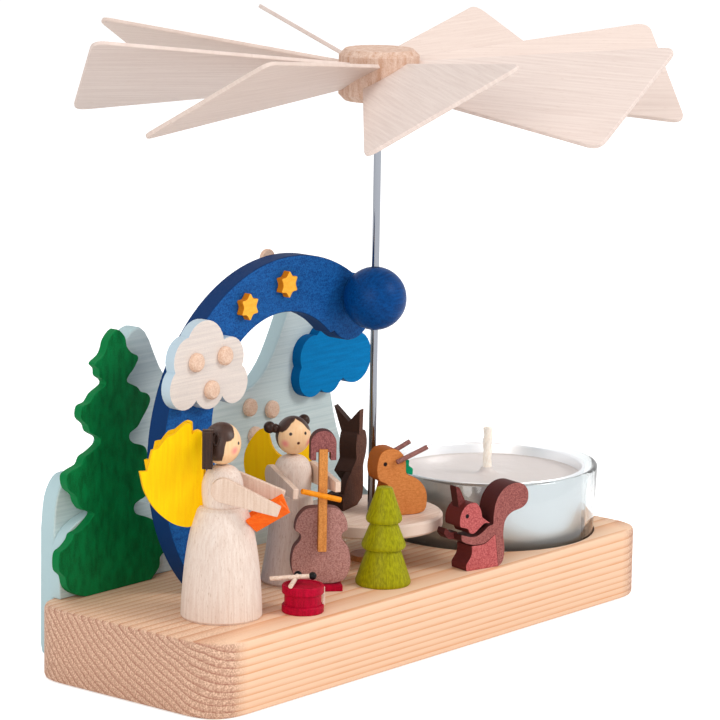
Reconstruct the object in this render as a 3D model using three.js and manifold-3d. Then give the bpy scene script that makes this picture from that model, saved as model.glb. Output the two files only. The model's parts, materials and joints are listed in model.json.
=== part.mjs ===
// A small Christmas pyramid for one tealight: a pine board carries a winter scene of painted wood,
// and the candle's warm air turns a wooden fan, a thin steel spindle and a turntable with two rabbits.
// Millimetres, +Z up. The origin is where the spindle's axis meets the plane the board stands on;
// +X runs along the front edge to the candle's end, +Y to the back.
import * as THREE from "three";
import { mergeVertices } from "three/addons/utils/BufferGeometryUtils.js";
import Module from "manifold-3d";

const wasm = await Module();
wasm.setup();

// Fits: a running fit turns freely, a push fit holds, a glue line lies between fixed pieces
const RUNNING_CLEARANCE = 0.08;
const PUSH_CLEARANCE = 0.05;
const GLUE_LINE = 0.15;

// Base board
const BASE_LENGTH = 126;
const BASE_DEPTH = 45;
const BASE_HEIGHT = 13.4;
const BASE_CORNER_RADIUS = 8;
const BASE_EDGE_ROUNDING = 0.7;
const SPINDLE_FROM_LEFT = 68.2;

// Candle end: tealight in a glass cup in a round recess
const TEALIGHT_RIM_RADIUS = 19;
const TEALIGHT_HEIGHT = 16;
const TEALIGHT_RIM_ROLL = 0.35;
const TEALIGHT_FOIL = 0.35;
const TEALIGHT_IN_GLASS = 0.3;
const WAX_BELOW_RIM = 2.3;
const WAX_IN_FOIL = 0.15;
const WICK_RADIUS = 0.7;
const WICK_SHOWING = 8.6;
const WICK_DEPTH = 5;
const GLASS_WALL = 1.3;
const GLASS_FLOOR = 2.2;
const GLASS_HEIGHT = 18.5;
const GLASS_FLARE = 0.8;
const RECESS_DEPTH = 5.5;
const RECESS_CLEARANCE = 0.5;
const CANDLE_FROM_SPINDLE = 35.3;

// Spindle, its socket and the turntable
const SPINDLE_DIAMETER = 1.4;
const SPINDLE_LENGTH = 97;
const SPINDLE_POINT = 1.2;
const SOCKET_RADIUS = 4.75;
const SOCKET_HEIGHT = 2.2;
const SOCKET_SPIGOT_RADIUS = 2.2;
const SOCKET_SPIGOT_LENGTH = 5;
const SOCKET_BORE_BELOW_TOP = 4.2;
const TURNTABLE_RADIUS = 13.4;
const TURNTABLE_THICKNESS = 2.6;
const TURNTABLE_TOP_ABOVE_BASE = 9.3;

// Fan: hub with slanted saw cuts and eight thin blades
const HUB_RADIUS = 7.4;
const HUB_HEIGHT = 9.4;
const HUB_CHAMFER = 0.7;
const HUB_BORE_DEPTH = 7.4;
const BLADE_COUNT = 8;
const BLADE_PITCH = 30;
const BLADE_FIRST_ANGLE = 6.5;
const BLADE_THICKNESS = 1;
const BLADE_REACH = 55.6;
const BLADE_ROOT_WIDTH = 9;
const BLADE_TIP_WIDTH = 29;
const BLADE_TIP_ROUNDING = 3;
const BLADE_SEAT_DEPTH = 2.2;
const SAW_OVERRUN = 1.4;

// Crescent arch with the guide ball at its end, the upper bearing of the spindle
const ARCH_THICKNESS = 4;
const ARCH_OUTER_RADIUS = 34;
const ARCH_OUTER_CENTRE = [-17.8, 24.6];
const ARCH_INNER_RADIUS = 19.2;
const ARCH_INNER_CENTRE = [-19.6, 29.2];
const ARCH_END_RADIUS = 6.5;
const ARCH_END_HEIGHT = 47.3;
const ARCH_FOOT_WIDTH = 14.5;
const BALL_RADIUS = 5.9;
const BALL_FLAT = 0.5;
const BALL_HEIGHT = 49.3;
const STAR_RADIUS = 2.4;
const STAR_THICKNESS = 1.3;
const STAR_ANGLES = [115.5, 93.5];
const STAR_INSET = 4.8;
const CLOUD_THICKNESS = 2.1;
const PEG_RADIUS = 1.7;
const PEG_HEIGHT = 1.2;

// Back row: the painted panel behind the board, a low snow hill and a fir in front of it
const PANEL_THICKNESS = 3.4;
const PANEL_ABOVE_TABLE = 1.2;
const HILL_THICKNESS = 2.4;
const FIR_THICKNESS = 2.6;

// Figures
const WING_THICKNESS = 0.9;
const ARM_THICKNESS = 1.1;
const BASS_THICKNESS = 2.4;
const BOW_DIAMETER = 1;
const DRUM_RADIUS = 3.65;
const DRUM_HEIGHT = 4.6;
const BEATER_RADIUS = 0.5;
const BEATER_BALL_RADIUS = 0.8;
const SQUIRREL_THICKNESS = 3.6;
const RABBIT_THICKNESS = 4.4;
const EAR_RADIUS = 0.5;

const FRONT_EDGE = -BASE_DEPTH / 2;
const BACK_EDGE = BASE_DEPTH / 2;
const LEFT_END = -SPINDLE_FROM_LEFT;
const SPINDLE_RADIUS = SPINDLE_DIAMETER / 2;
const TURNED = 24;

const christmasPyramid = new THREE.Group();

// Adds a piece, a geometry or a manifold solid, as one named mesh.
function add(name, shape, finish, parent = christmasPyramid) {
  const geometry = shape instanceof THREE.BufferGeometry ? shape : toGeometry(shape);
  const material = new THREE.MeshStandardMaterial(finish);
  const mesh = new THREE.Mesh(geometry, material);
  mesh.name = name;
  parent.add(mesh);
  return mesh;
}

function toSolid(geometry) {
  const bare = geometry.clone();
  bare.deleteAttribute("normal");
  bare.deleteAttribute("uv");
  const merged = mergeVertices(bare, 1e-4);
  return new wasm.Manifold(
    new wasm.Mesh({
      numProp: 3,
      vertProperties: merged.attributes.position.array,
      triVerts: new Uint32Array(merged.index.array),
    }),
  );
}

function toGeometry(solid) {
  const { vertProperties, triVerts } = solid.getMesh();
  const geometry = new THREE.BufferGeometry();
  geometry.setAttribute("position", new THREE.BufferAttribute(vertProperties, 3));
  geometry.setIndex(new THREE.BufferAttribute(triVerts, 1));
  geometry.computeVertexNormals();
  return geometry;
}

const union = (geometries) => geometries.map(toSolid).reduce((all, one) => all.add(one));

// An outline through [x, y, corner radius] points, each corner turned by a short curve.
function roundedOutline(points) {
  const shape = new THREE.Shape();
  points.forEach(([x, y, radius = 0], i) => {
    const corner = new THREE.Vector2(x, y);
    const [before, after] = [points.at(i - 1), points[(i + 1) % points.length]].map(
      ([px, py]) => new THREE.Vector2(px, py).sub(corner),
    );
    const cut = Math.min(radius, before.length() / 2.05, after.length() / 2.05);
    const start = corner.clone().add(before.setLength(cut));
    const end = corner.clone().add(after.setLength(cut));
    if (i === 0) shape.moveTo(start.x, start.y);
    else shape.lineTo(start.x, start.y);
    if (cut > 0) shape.quadraticCurveTo(x, y, end.x, end.y);
  });
  shape.closePath();
  return shape;
}

// An outline that runs smoothly through its points, then straight back to the first one.
function smoothOutline(points) {
  const shape = new THREE.Shape();
  shape.moveTo(...points[0]);
  shape.splineThru(points.slice(1).map(([x, y]) => new THREE.Vector2(x, y)));
  shape.closePath();
  return shape;
}

// A board standing upright: the outline is seen from the front, the back face lies at y = back.
function board(outline, thickness, back = 0, curveSegments = 6) {
  return new THREE.ExtrudeGeometry(outline, { depth: thickness, bevelEnabled: false, curveSegments })
    .rotateX(Math.PI / 2)
    .translate(0, back, 0);
}

// A turned piece about the vertical axis, from [radius, height] points, bottom to top.
function turned(profile, segments = TURNED) {
  const points = profile.map(([radius, height]) => new THREE.Vector2(radius, height));
  return new THREE.LatheGeometry(points, segments).rotateX(Math.PI / 2);
}

// Points on an arc, as [x, y] pairs, by centre, radius and angles in degrees.
function arcPoints([cx, cy], radius, from, to, steps) {
  return Array.from({ length: steps + 1 }, (_, i) => {
    const angle = THREE.MathUtils.degToRad(from + ((to - from) * i) / steps);
    return [cx + radius * Math.cos(angle), cy + radius * Math.sin(angle)];
  });
}

// A cloud is a row of overlapping round lobes, each [x, height, radius].
function cloud(lobes, thickness, back) {
  const disc = ([x, height, radius]) =>
    new THREE.CylinderGeometry(radius, radius, thickness, 28).translate(x, back - thickness / 2, height);
  return union(lobes.map(disc));
}

// A domed dowel peg whose axis runs front to back, seated on the plane y = back.
function peg(x, height, back) {
  const rounding = PEG_HEIGHT / 3;
  return turned([
    [0, 0],
    [PEG_RADIUS, 0],
    [PEG_RADIUS, PEG_HEIGHT - rounding],
    [PEG_RADIUS - rounding, PEG_HEIGHT],
    [0, PEG_HEIGHT],
  ])
    .rotateX(Math.PI / 2)
    .translate(x, back, height);
}

const pine = { color: 0xf2c9a0, roughness: 0.6 };
const plainWood = { color: 0xe8d3c4, roughness: 0.65 };
const pegWood = { color: 0xe6c2a4, roughness: 0.6 };
const snowBlue = { color: 0xcfe0e2, roughness: 0.6 };
const nightBlue = { color: 0x17508f, roughness: 0.5 };
const firGreen = { color: 0x00602f, roughness: 0.6 };
const wingYellow = { color: 0xf2c40c, roughness: 0.55 };
const bassMauve = { color: 0x9a6a68, roughness: 0.65 };
const neckOrange = { color: 0xd68f4c, roughness: 0.6 };

function baseBoard() {
  const halfDepth = BASE_DEPTH / 2;
  const right = LEFT_END + BASE_LENGTH;
  const corner = BASE_CORNER_RADIUS;
  const outline = roundedOutline([
    [LEFT_END, -halfDepth, corner],
    [right, -halfDepth, corner],
    [right, halfDepth, corner],
    [LEFT_END, halfDepth, corner],
  ]);
  const rounding = BASE_EDGE_ROUNDING;
  const block = new THREE.ExtrudeGeometry(outline, {
    depth: BASE_HEIGHT - 2 * rounding,
    bevelThickness: rounding,
    bevelSize: rounding,
    bevelOffset: -rounding,
    bevelSegments: 2,
    curveSegments: 8,
  }).translate(0, 0, rounding);
  const recessRadius = glassFootRadius + RECESS_CLEARANCE;
  const recess = new THREE.CylinderGeometry(recessRadius, recessRadius, 2 * RECESS_DEPTH, 64)
    .rotateX(Math.PI / 2)
    .translate(CANDLE_FROM_SPINDLE, 0, BASE_HEIGHT);
  const holeRadius = SOCKET_SPIGOT_RADIUS + PUSH_CLEARANCE;
  const holeDepth = SOCKET_SPIGOT_LENGTH + GLUE_LINE;
  const hole = new THREE.CylinderGeometry(holeRadius, holeRadius, 2 * holeDepth, TURNED)
    .rotateX(Math.PI / 2)
    .translate(0, 0, BASE_HEIGHT);
  return toSolid(block).subtract(toSolid(recess)).subtract(toSolid(hole));
}

// Candle end
const glassInnerRadius = TEALIGHT_RIM_RADIUS + TEALIGHT_IN_GLASS;
const glassFootRadius = glassInnerRadius + GLASS_WALL;
const recessFloor = BASE_HEIGHT - RECESS_DEPTH;

function glassCup() {
  const rimOuter = glassFootRadius + GLASS_FLARE;
  const lip = GLASS_WALL / 3;
  return turned(
    [
      [0, 0],
      [glassFootRadius - lip, 0],
      [glassFootRadius, lip],
      [rimOuter, GLASS_HEIGHT - lip],
      [rimOuter - lip, GLASS_HEIGHT],
      [glassInnerRadius + lip, GLASS_HEIGHT],
      [glassInnerRadius, GLASS_HEIGHT - lip],
      [glassInnerRadius, GLASS_FLOOR],
      [0, GLASS_FLOOR],
    ],
    48,
  );
}

function tealightCup() {
  const wall = TEALIGHT_RIM_RADIUS - TEALIGHT_RIM_ROLL;
  return turned(
    [
      [0, 0],
      [wall, 0],
      [wall, TEALIGHT_HEIGHT - 2 * TEALIGHT_RIM_ROLL],
      [TEALIGHT_RIM_RADIUS, TEALIGHT_HEIGHT - TEALIGHT_RIM_ROLL],
      [wall, TEALIGHT_HEIGHT],
      [wall - TEALIGHT_FOIL, TEALIGHT_HEIGHT - TEALIGHT_RIM_ROLL],
      [wall - TEALIGHT_FOIL, TEALIGHT_FOIL],
      [0, TEALIGHT_FOIL],
    ],
    48,
  );
}

function tealightWax() {
  const radius = TEALIGHT_RIM_RADIUS - TEALIGHT_RIM_ROLL - TEALIGHT_FOIL - WAX_IN_FOIL;
  const top = TEALIGHT_HEIGHT - WAX_BELOW_RIM - TEALIGHT_FOIL;
  const bore = WICK_RADIUS + PUSH_CLEARANCE;
  return turned(
    [
      [0, 0],
      [radius, 0],
      [radius, top],
      [bore, top],
      [bore, top - WICK_DEPTH - GLUE_LINE],
      [0, top - WICK_DEPTH - GLUE_LINE],
    ],
    48,
  );
}

function candle() {
  const group = new THREE.Group();
  group.position.set(CANDLE_FROM_SPINDLE, 0, recessFloor);
  christmasPyramid.add(group);
  add("glass_cup", glassCup(), { color: 0xdfe6e4, roughness: 0.05, transparent: true, opacity: 0.4 }, group);
  const foil = add("tealight_cup", tealightCup(), { color: 0xc9cccd, roughness: 0.35, metalness: 1 }, group);
  foil.position.z = GLASS_FLOOR;
  const wax = add("tealight_wax", tealightWax(), { color: 0xe9e6e2, roughness: 0.5 }, group);
  wax.position.z = GLASS_FLOOR + TEALIGHT_FOIL;
  const wickLength = WICK_SHOWING + WICK_DEPTH;
  const wick = turned([[0, 0], [WICK_RADIUS, 0], [WICK_RADIUS, wickLength], [0, wickLength]], 12);
  wick.translate(0, 0, GLASS_FLOOR + TEALIGHT_HEIGHT - WAX_BELOW_RIM - WICK_DEPTH);
  add("tealight_wick", wick, { color: 0xefe6da, roughness: 0.8 }, group);
}

// Spindle group
const socketTop = BASE_HEIGHT + SOCKET_HEIGHT;
const spindleFoot = socketTop - SOCKET_BORE_BELOW_TOP + RUNNING_CLEARANCE;
const spindleTop = spindleFoot + SPINDLE_LENGTH;
const turntableTop = BASE_HEIGHT + TURNTABLE_TOP_ABOVE_BASE;

function bearingSocket() {
  const bore = SPINDLE_RADIUS + RUNNING_CLEARANCE;
  return turned([
    [0, -SOCKET_SPIGOT_LENGTH],
    [SOCKET_SPIGOT_RADIUS, -SOCKET_SPIGOT_LENGTH],
    [SOCKET_SPIGOT_RADIUS, 0],
    [SOCKET_RADIUS, 0],
    [SOCKET_RADIUS, SOCKET_HEIGHT * 0.5],
    [SOCKET_RADIUS * 0.8, SOCKET_HEIGHT],
    [bore, SOCKET_HEIGHT],
    [bore, SOCKET_HEIGHT - SOCKET_BORE_BELOW_TOP],
    [0, SOCKET_HEIGHT - SOCKET_BORE_BELOW_TOP],
  ]).translate(0, 0, BASE_HEIGHT);
}

function spindleShaft() {
  return turned([
    [0, 0],
    [SPINDLE_RADIUS, SPINDLE_POINT],
    [SPINDLE_RADIUS, SPINDLE_LENGTH],
    [0, SPINDLE_LENGTH],
  ]).translate(0, 0, spindleFoot);
}

function turntable() {
  const bore = SPINDLE_RADIUS + PUSH_CLEARANCE;
  const edge = TURNTABLE_THICKNESS / 5;
  return turned(
    [
      [bore, 0],
      [TURNTABLE_RADIUS - edge, 0],
      [TURNTABLE_RADIUS, edge],
      [TURNTABLE_RADIUS, TURNTABLE_THICKNESS - edge],
      [TURNTABLE_RADIUS - edge, TURNTABLE_THICKNESS],
      [bore, TURNTABLE_THICKNESS],
      [bore, 0],
    ],
    48,
  ).translate(0, 0, turntableTop - TURNTABLE_THICKNESS);
}

// Fan
const hubBottom = spindleTop + PUSH_CLEARANCE - HUB_BORE_DEPTH;
const bladeRoot = HUB_RADIUS - BLADE_SEAT_DEPTH;

// Turns a piece drawn along +X into its place on the hub: pitched, then swung round the axis.
function placeOnHub(geometry, index) {
  return geometry
    .rotateX(THREE.MathUtils.degToRad(BLADE_PITCH))
    .rotateZ(THREE.MathUtils.degToRad(BLADE_FIRST_ANGLE + (index * 360) / BLADE_COUNT))
    .translate(0, 0, hubBottom + HUB_HEIGHT / 2);
}

function rotorHub() {
  const bore = SPINDLE_RADIUS + PUSH_CLEARANCE;
  const blank = turned(
    [
      [bore, 0],
      [HUB_RADIUS - HUB_CHAMFER, 0],
      [HUB_RADIUS, HUB_CHAMFER],
      [HUB_RADIUS, HUB_HEIGHT - HUB_CHAMFER],
      [HUB_RADIUS - HUB_CHAMFER, HUB_HEIGHT],
      [0, HUB_HEIGHT],
      [0, HUB_BORE_DEPTH],
      [bore, HUB_BORE_DEPTH],
      [bore, 0],
    ],
    48,
  ).translate(0, 0, hubBottom);
  const cutDepth = BLADE_SEAT_DEPTH + GLUE_LINE;
  const sawCut = (_, index) => {
    const width = BLADE_ROOT_WIDTH + 2 * SAW_OVERRUN;
    const cut = new THREE.BoxGeometry(3 * cutDepth, width, BLADE_THICKNESS + 2 * GLUE_LINE);
    cut.translate(bladeRoot - GLUE_LINE + 1.5 * cutDepth, 0, 0);
    return toSolid(placeOnHub(cut, index));
  };
  return Array.from({ length: BLADE_COUNT }, sawCut).reduce((hub, cut) => hub.subtract(cut), toSolid(blank));
}

function blade(index) {
  const [root, tip] = [BLADE_ROOT_WIDTH / 2, BLADE_TIP_WIDTH / 2];
  const outline = roundedOutline([
    [bladeRoot, -root],
    [BLADE_REACH, -tip, BLADE_TIP_ROUNDING],
    [BLADE_REACH, tip, BLADE_TIP_ROUNDING],
    [bladeRoot, root],
  ]);
  const flat = new THREE.ExtrudeGeometry(outline, { depth: BLADE_THICKNESS, bevelEnabled: false });
  return placeOnHub(flat.translate(0, 0, -BLADE_THICKNESS / 2), index);
}

// Arch
const archFront = BALL_RADIUS - BALL_FLAT;
const archBack = archFront + ARCH_THICKNESS;

function moonArch() {
  const radians = THREE.MathUtils.degToRad;
  const outline = new THREE.Shape();
  const footAngle = -Math.PI - Math.asin(-ARCH_OUTER_CENTRE[1] / ARCH_OUTER_RADIUS);
  const footLeft = ARCH_OUTER_CENTRE[0] + ARCH_OUTER_RADIUS * Math.cos(footAngle);
  outline.absarc(...ARCH_OUTER_CENTRE, ARCH_OUTER_RADIUS, footAngle, radians(58), true);
  outline.absarc(0, ARCH_END_HEIGHT, ARCH_END_RADIUS, radians(55), radians(-140), true);
  outline.absarc(...ARCH_INNER_CENTRE, ARCH_INNER_RADIUS, radians(45), radians(222), false);
  outline.lineTo(footLeft + ARCH_FOOT_WIDTH, 0);
  outline.closePath();
  return board(outline, ARCH_THICKNESS, archBack, 28).translate(0, 0, BASE_HEIGHT);
}

function guideBall() {
  const ball = toSolid(new THREE.SphereGeometry(BALL_RADIUS, 32, 20).rotateX(Math.PI / 2));
  const bore = SPINDLE_RADIUS + RUNNING_CLEARANCE;
  const drill = new THREE.CylinderGeometry(bore, bore, 3 * BALL_RADIUS, TURNED).rotateX(Math.PI / 2);
  const behind = new THREE.BoxGeometry(3 * BALL_RADIUS, BALL_RADIUS, 3 * BALL_RADIUS);
  behind.translate(0, archFront + BALL_RADIUS / 2, 0);
  return ball
    .subtract(toSolid(drill))
    .subtract(toSolid(behind))
    .translate([0, 0, BASE_HEIGHT + BALL_HEIGHT]);
}

function star(degrees) {
  const [x, height] = arcPoints(ARCH_OUTER_CENTRE, ARCH_OUTER_RADIUS - STAR_INSET, degrees, degrees, 1)[0];
  const points = Array.from({ length: 12 }, (_, i) => {
    const angle = (i * Math.PI) / 6 + Math.PI / 2;
    const radius = i % 2 ? STAR_RADIUS * 0.62 : STAR_RADIUS;
    return [radius * Math.cos(angle), radius * Math.sin(angle), 0.35];
  });
  return board(roundedOutline(points), STAR_THICKNESS, archFront, 2).translate(x, 0, BASE_HEIGHT + height);
}

const WHITE_CLOUD_LOBES = [
  [-43.2, 45.2, 5.1],
  [-36.7, 42.6, 3.9],
  [-35.4, 37.9, 3.7],
  [-41.9, 38.2, 4.1],
  [-48.4, 38.8, 4],
  [-47.2, 43.6, 4.2],
  [-41.9, 41.6, 5],
];
const BLUE_CLOUD_LOBES = [
  [11.3, 36.1, 4.9],
  [18.8, 33.4, 5],
  [11.3, 30.9, 3.5],
  [6.2, 31.2, 3.9],
  [6.6, 35.2, 4],
  [12, 33.5, 5],
];
const CLOUD_PEGS = [[-45.6, 43.1], [-38, 43.3], [-41.5, 37.6]];
const SNOW_PEGS = [[-9.4, 26.9], [-3.1, 25.6], [-7.9, 21.3]];
const ARCH_PEG = [-19.2, 57.9];

// Back row
const PANEL_OUTLINE = [
  [-61.8, 12],
  [-61, 18],
  [-58.6, 21.4],
  [-55.6, 21.6],
  [-52.6, 20.4],
  [-49.6, 22.4],
  [-46.6, 33],
  [-44.2, 42.6],
  [-41.2, 45.9],
  [-37.8, 45],
  [-33.6, 37.6],
  [-28, 32],
  [-18, 30.2],
  [-9, 30.6],
  [-4, 34.2],
  [-0.4, 39.8],
  [3.6, 47.6],
  [7.2, 51.6],
  [10.4, 49.4],
  [12, 41],
  [14.6, 27.4],
  [17.6, 17.4],
  [23, 8.6],
  [30, 2],
];
const HILL_OUTLINE = [
  [-62.6, 0],
  [-62.6, 8],
  [-60, 12.4],
  [-54, 14.6],
  [-46, 15.2],
  [-39, 13.8],
  [-35.6, 10],
  [-32, 2.4],
  [-30.8, 0],
];
// The fir's right and left edges from the foot up, as distances from its middle line and heights
const FIR_MIDDLE = -50.2;
const FIR_RIGHT = [
  [10, 0.8],
  [11.6, 3.6],
  [14, 5.6],
  [11.4, 9.6],
  [9.2, 11.6],
  [5.8, 13.6],
  [7.4, 15.6],
  [11.2, 18.2],
  [11.6, 21.4],
  [8.4, 24.6],
  [4.2, 27],
  [6.8, 29.2],
  [9.2, 32],
  [8.8, 34.8],
  [6, 36.2],
  [3.4, 37.4],
  [5.2, 39.6],
  [5.6, 42],
  [3.4, 43.4],
  [2, 46],
];
const FIR_LEFT = [
  [-8.4, 0.8],
  [-11.4, 2.8],
  [-12.4, 5.2],
  [-14.6, 7.6],
  [-13.6, 9.6],
  [-9.6, 11.6],
  [-5.4, 13.8],
  [-8.4, 16.4],
  [-11.4, 19.6],
  [-11.4, 22.8],
  [-7.6, 24.8],
  [-3.6, 27.6],
  [-5.8, 31],
  [-7.8, 33.2],
  [-7.4, 35.4],
  [-4, 37.2],
  [-2, 38.8],
  [-3.8, 41.2],
  [-3.6, 43],
  [-1.6, 45.4],
];

function backdropPanel() {
  const below = PANEL_ABOVE_TABLE - BASE_HEIGHT;
  const [left, right] = [PANEL_OUTLINE[0][0], PANEL_OUTLINE.at(-1)[0]];
  const rounding = 3;
  const outline = new THREE.Shape();
  outline.moveTo(left + rounding, below);
  outline.quadraticCurveTo(left, below, left, below + rounding);
  outline.lineTo(...PANEL_OUTLINE[0]);
  outline.splineThru(PANEL_OUTLINE.slice(1).map(([x, z]) => new THREE.Vector2(x, z)));
  outline.lineTo(right, below + rounding);
  outline.quadraticCurveTo(right, below, right - rounding, below);
  outline.closePath();
  return board(outline, PANEL_THICKNESS, BACK_EDGE + PANEL_THICKNESS, 3).translate(0, 0, BASE_HEIGHT);
}

function snowHill() {
  return board(smoothOutline(HILL_OUTLINE), HILL_THICKNESS, BACK_EDGE, 3).translate(0, 0, BASE_HEIGHT);
}

function firTree() {
  const edge = [...FIR_RIGHT, [0, 47.6], ...FIR_LEFT.toReversed()];
  const outline = smoothOutline([[8.6, 0], ...edge, [-6.6, 0]]);
  return board(outline, FIR_THICKNESS, BACK_EDGE - HILL_THICKNESS, 2).translate(FIR_MIDDLE, 0, BASE_HEIGHT);
}

// Figures stand in groups of their own, which face the front before they are turned.
function figure(x, y, degrees) {
  const group = new THREE.Group();
  group.position.set(x, y, BASE_HEIGHT);
  group.rotation.z = THREE.MathUtils.degToRad(degrees);
  christmasPyramid.add(group);
  return group;
}

// A flat tapered arm beside the chest: side is -1 or 1, and the hand points forwards and down.
function arm(side, { chestRadius, shoulderHeight, shoulderRadius, handWidth, armLength }, degreesDown) {
  const outline = new THREE.Shape();
  outline.absarc(0, 0, shoulderRadius, Math.PI / 2, -Math.PI / 2, false);
  outline.lineTo(armLength, -handWidth / 2);
  outline.lineTo(armLength, handWidth / 2);
  outline.closePath();
  const flat = { depth: ARM_THICKNESS, bevelEnabled: false, curveSegments: 8 };
  const inner = chestRadius + GLUE_LINE;
  return new THREE.ExtrudeGeometry(outline, flat)
    .rotateZ(THREE.MathUtils.degToRad(-degreesDown))
    .rotateX(Math.PI / 2)
    .rotateZ(-Math.PI / 2)
    .translate(side > 0 ? inner + ARM_THICKNESS : -inner, 0, shoulderHeight);
}

// Wing outline for a wing that reaches 1 outwards and 1 upwards: feather tips behind, round below.
const WING_OUTLINE = [
  [0, 0.19, 0.1],
  [0.14, 0, 0.15],
  [0.5, 0.02, 0.3],
  [0.83, 0.26, 0.3],
  [1, 0.53],
  [0.85, 0.56, 0.05],
  [0.84, 0.74],
  [0.71, 0.75, 0.05],
  [0.63, 0.86],
  [0.5, 0.9, 0.05],
  [0.4, 0.98],
  [0.2, 1, 0.1],
  [0, 0.9, 0.2],
];

function wings({ chestRadius, wingReach, wingHeight, wingBottom, wingSpread }) {
  const size = Math.min(wingReach, wingHeight);
  const outline = roundedOutline(
    WING_OUTLINE.map(([x, z, r = 0]) => [x * wingReach, z * wingHeight, r * size]),
  );
  const wing = (side) =>
    board(outline, WING_THICKNESS, WING_THICKNESS / 2, 3).rotateZ(
      Math.PI / 2 + side * THREE.MathUtils.degToRad(wingSpread),
    );
  const behind = chestRadius + GLUE_LINE + WING_THICKNESS / 2;
  return union([wing(-1), wing(1)]).translate([0, behind, wingBottom]);
}

function angelBody({ skirtRadius, skirtShape, waistHeight, waistRadius, chestRadius, chestHeight }) {
  const hem = 0.5;
  const chestTop = waistHeight + chestHeight;
  return turned([
    [0, 0],
    [skirtRadius - hem / 2, 0],
    [skirtRadius, hem],
    ...skirtShape.map(([r, z]) => [r * skirtRadius, z * waistHeight]),
    [waistRadius + hem, waistHeight - hem],
    [waistRadius, waistHeight],
    [chestRadius * 0.94, waistHeight],
    [chestRadius, waistHeight + chestHeight * 0.35],
    [chestRadius * 0.97, waistHeight + chestHeight * 0.62],
    [chestRadius * 0.75, waistHeight + chestHeight * 0.87],
    [chestRadius * 0.4, chestTop],
    [0, chestTop],
  ]);
}

// A turned head, with any buns of hair as balls at [side, back, up] in head radii.
function angelHead({ waistHeight, chestHeight, headRadius, buns = [], bunRadius = 0 }) {
  const ball = (radius, x, y, z) => new THREE.SphereGeometry(radius, 20, 12).translate(x, y, z);
  const balls = buns.map((place) => ball(bunRadius, ...place.map((part) => part * headRadius)));
  const centre = waistHeight + chestHeight + GLUE_LINE + headRadius;
  return union([ball(headRadius, 0, 0, 0), ...balls]).translate([0, 0, centre]);
}

const ANGEL_WITH_BOOK = {
  skirtRadius: 7.2,
  skirtShape: [[0.91, 0.49], [0.78, 0.78]],
  waistHeight: 19.9,
  waistRadius: 3.9,
  chestRadius: 3.75,
  chestHeight: 7.2,
  headRadius: 3.35,
  shoulderHeight: 23.3,
  shoulderRadius: 2.3,
  handWidth: 1.7,
  armLength: 10.8,
  wingReach: 10.4,
  wingHeight: 18.8,
  wingBottom: 16.3,
  wingSpread: 28,
};
const ANGEL_WITH_BASS = {
  skirtRadius: 5.6,
  skirtShape: [[0.87, 0.3], [0.77, 0.56], [0.69, 0.82]],
  waistHeight: 16.8,
  waistRadius: 3.3,
  chestRadius: 3.75,
  chestHeight: 6.7,
  headRadius: 3.05,
  buns: [[-1.12, 0.3, 0.42], [0.95, 0.4, 0.78]],
  bunRadius: 1.15,
  shoulderHeight: 20,
  shoulderRadius: 1.95,
  handWidth: 2.1,
  armLength: 11.3,
  wingReach: 7.6,
  wingHeight: 14.2,
  wingBottom: 13.2,
  wingSpread: 40,
};
const angelWood = { color: 0xe3d0c2, roughness: 0.65 };
const faceWood = { color: 0xefc393, roughness: 0.5 };
const hairBrown = { color: 0x33241f, roughness: 0.4 };

function angel(name, group, sizes, [rightDown, leftDown]) {
  add(`${name}_body`, angelBody(sizes), angelWood, group);
  add(`${name}_head`, angelHead(sizes), faceWood, group);
  add(`${name}_wings`, wings(sizes), wingYellow, group);
  add(`${name}_arm_right`, arm(-1, sizes, rightDown), angelWood, group);
  add(`${name}_arm_left`, arm(1, sizes, leftDown), angelWood, group);
}

// The open songbook between the hands: two leaves in a V whose fold runs forwards and up.
function songbook() {
  const [leaf, halfWidth, rise, length] = [0.8, 3.3, 2.9, 7];
  const [forward, height, lean] = [6.3, 15.2, 58];
  const section = new THREE.Shape();
  section.moveTo(0, 0);
  section.lineTo(halfWidth, rise);
  section.lineTo(halfWidth - leaf, rise + leaf / 2);
  section.lineTo(0, leaf * 1.2);
  section.lineTo(leaf - halfWidth, rise + leaf / 2);
  section.lineTo(-halfWidth, rise);
  section.closePath();
  return new THREE.ExtrudeGeometry(section, { depth: length, bevelEnabled: false })
    .rotateX(THREE.MathUtils.degToRad(lean))
    .translate(0, -forward, height);
}

function angelWithBook() {
  const group = figure(LEFT_END + 17.1, FRONT_EDGE + 14.4, 27.6);
  angel("angel_1", group, ANGEL_WITH_BOOK, [22, 14]);
  const { headRadius, waistHeight, chestHeight } = ANGEL_WITH_BOOK;
  const [width, length, behindEar] = [2.1, 6.8, 1.3];
  const ponytail = new THREE.BoxGeometry(width, width, length).translate(
    -headRadius - GLUE_LINE - width / 2,
    behindEar,
    waistHeight + chestHeight + headRadius * 0.8,
  );
  add("angel_1_ponytail", ponytail, hairBrown, group);
  add("songbook", songbook(), { color: 0xfa6a1c, roughness: 0.5 }, group);
}

// Double bass: body half outline as [half width, height] from the foot up
const BASS_FORWARD = 7.2;
const BASS_ASIDE = 1.9;
const BASS_FOOT_HEIGHT = 1.2;
const BASS_HALF_OUTLINE = [
  [2.6, 0, 1],
  [5.2, 1.6, 1.5],
  [5.2, 5.6, 2],
  [4, 7.6, 0.4],
  [3.4, 8.8, 0.8],
  [4.2, 10.2, 0.4],
  [4.9, 12, 1.5],
  [3.6, 14.1, 1.5],
  [1.4, 14.2, 0.5],
];
const BASS_NECK_BOTTOM = 5.6;
const BASS_NECK_TOP = 25.6;
const BASS_NECK_WIDTH = 1.9;
const BASS_NECK_THICKNESS = 1.5;

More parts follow.
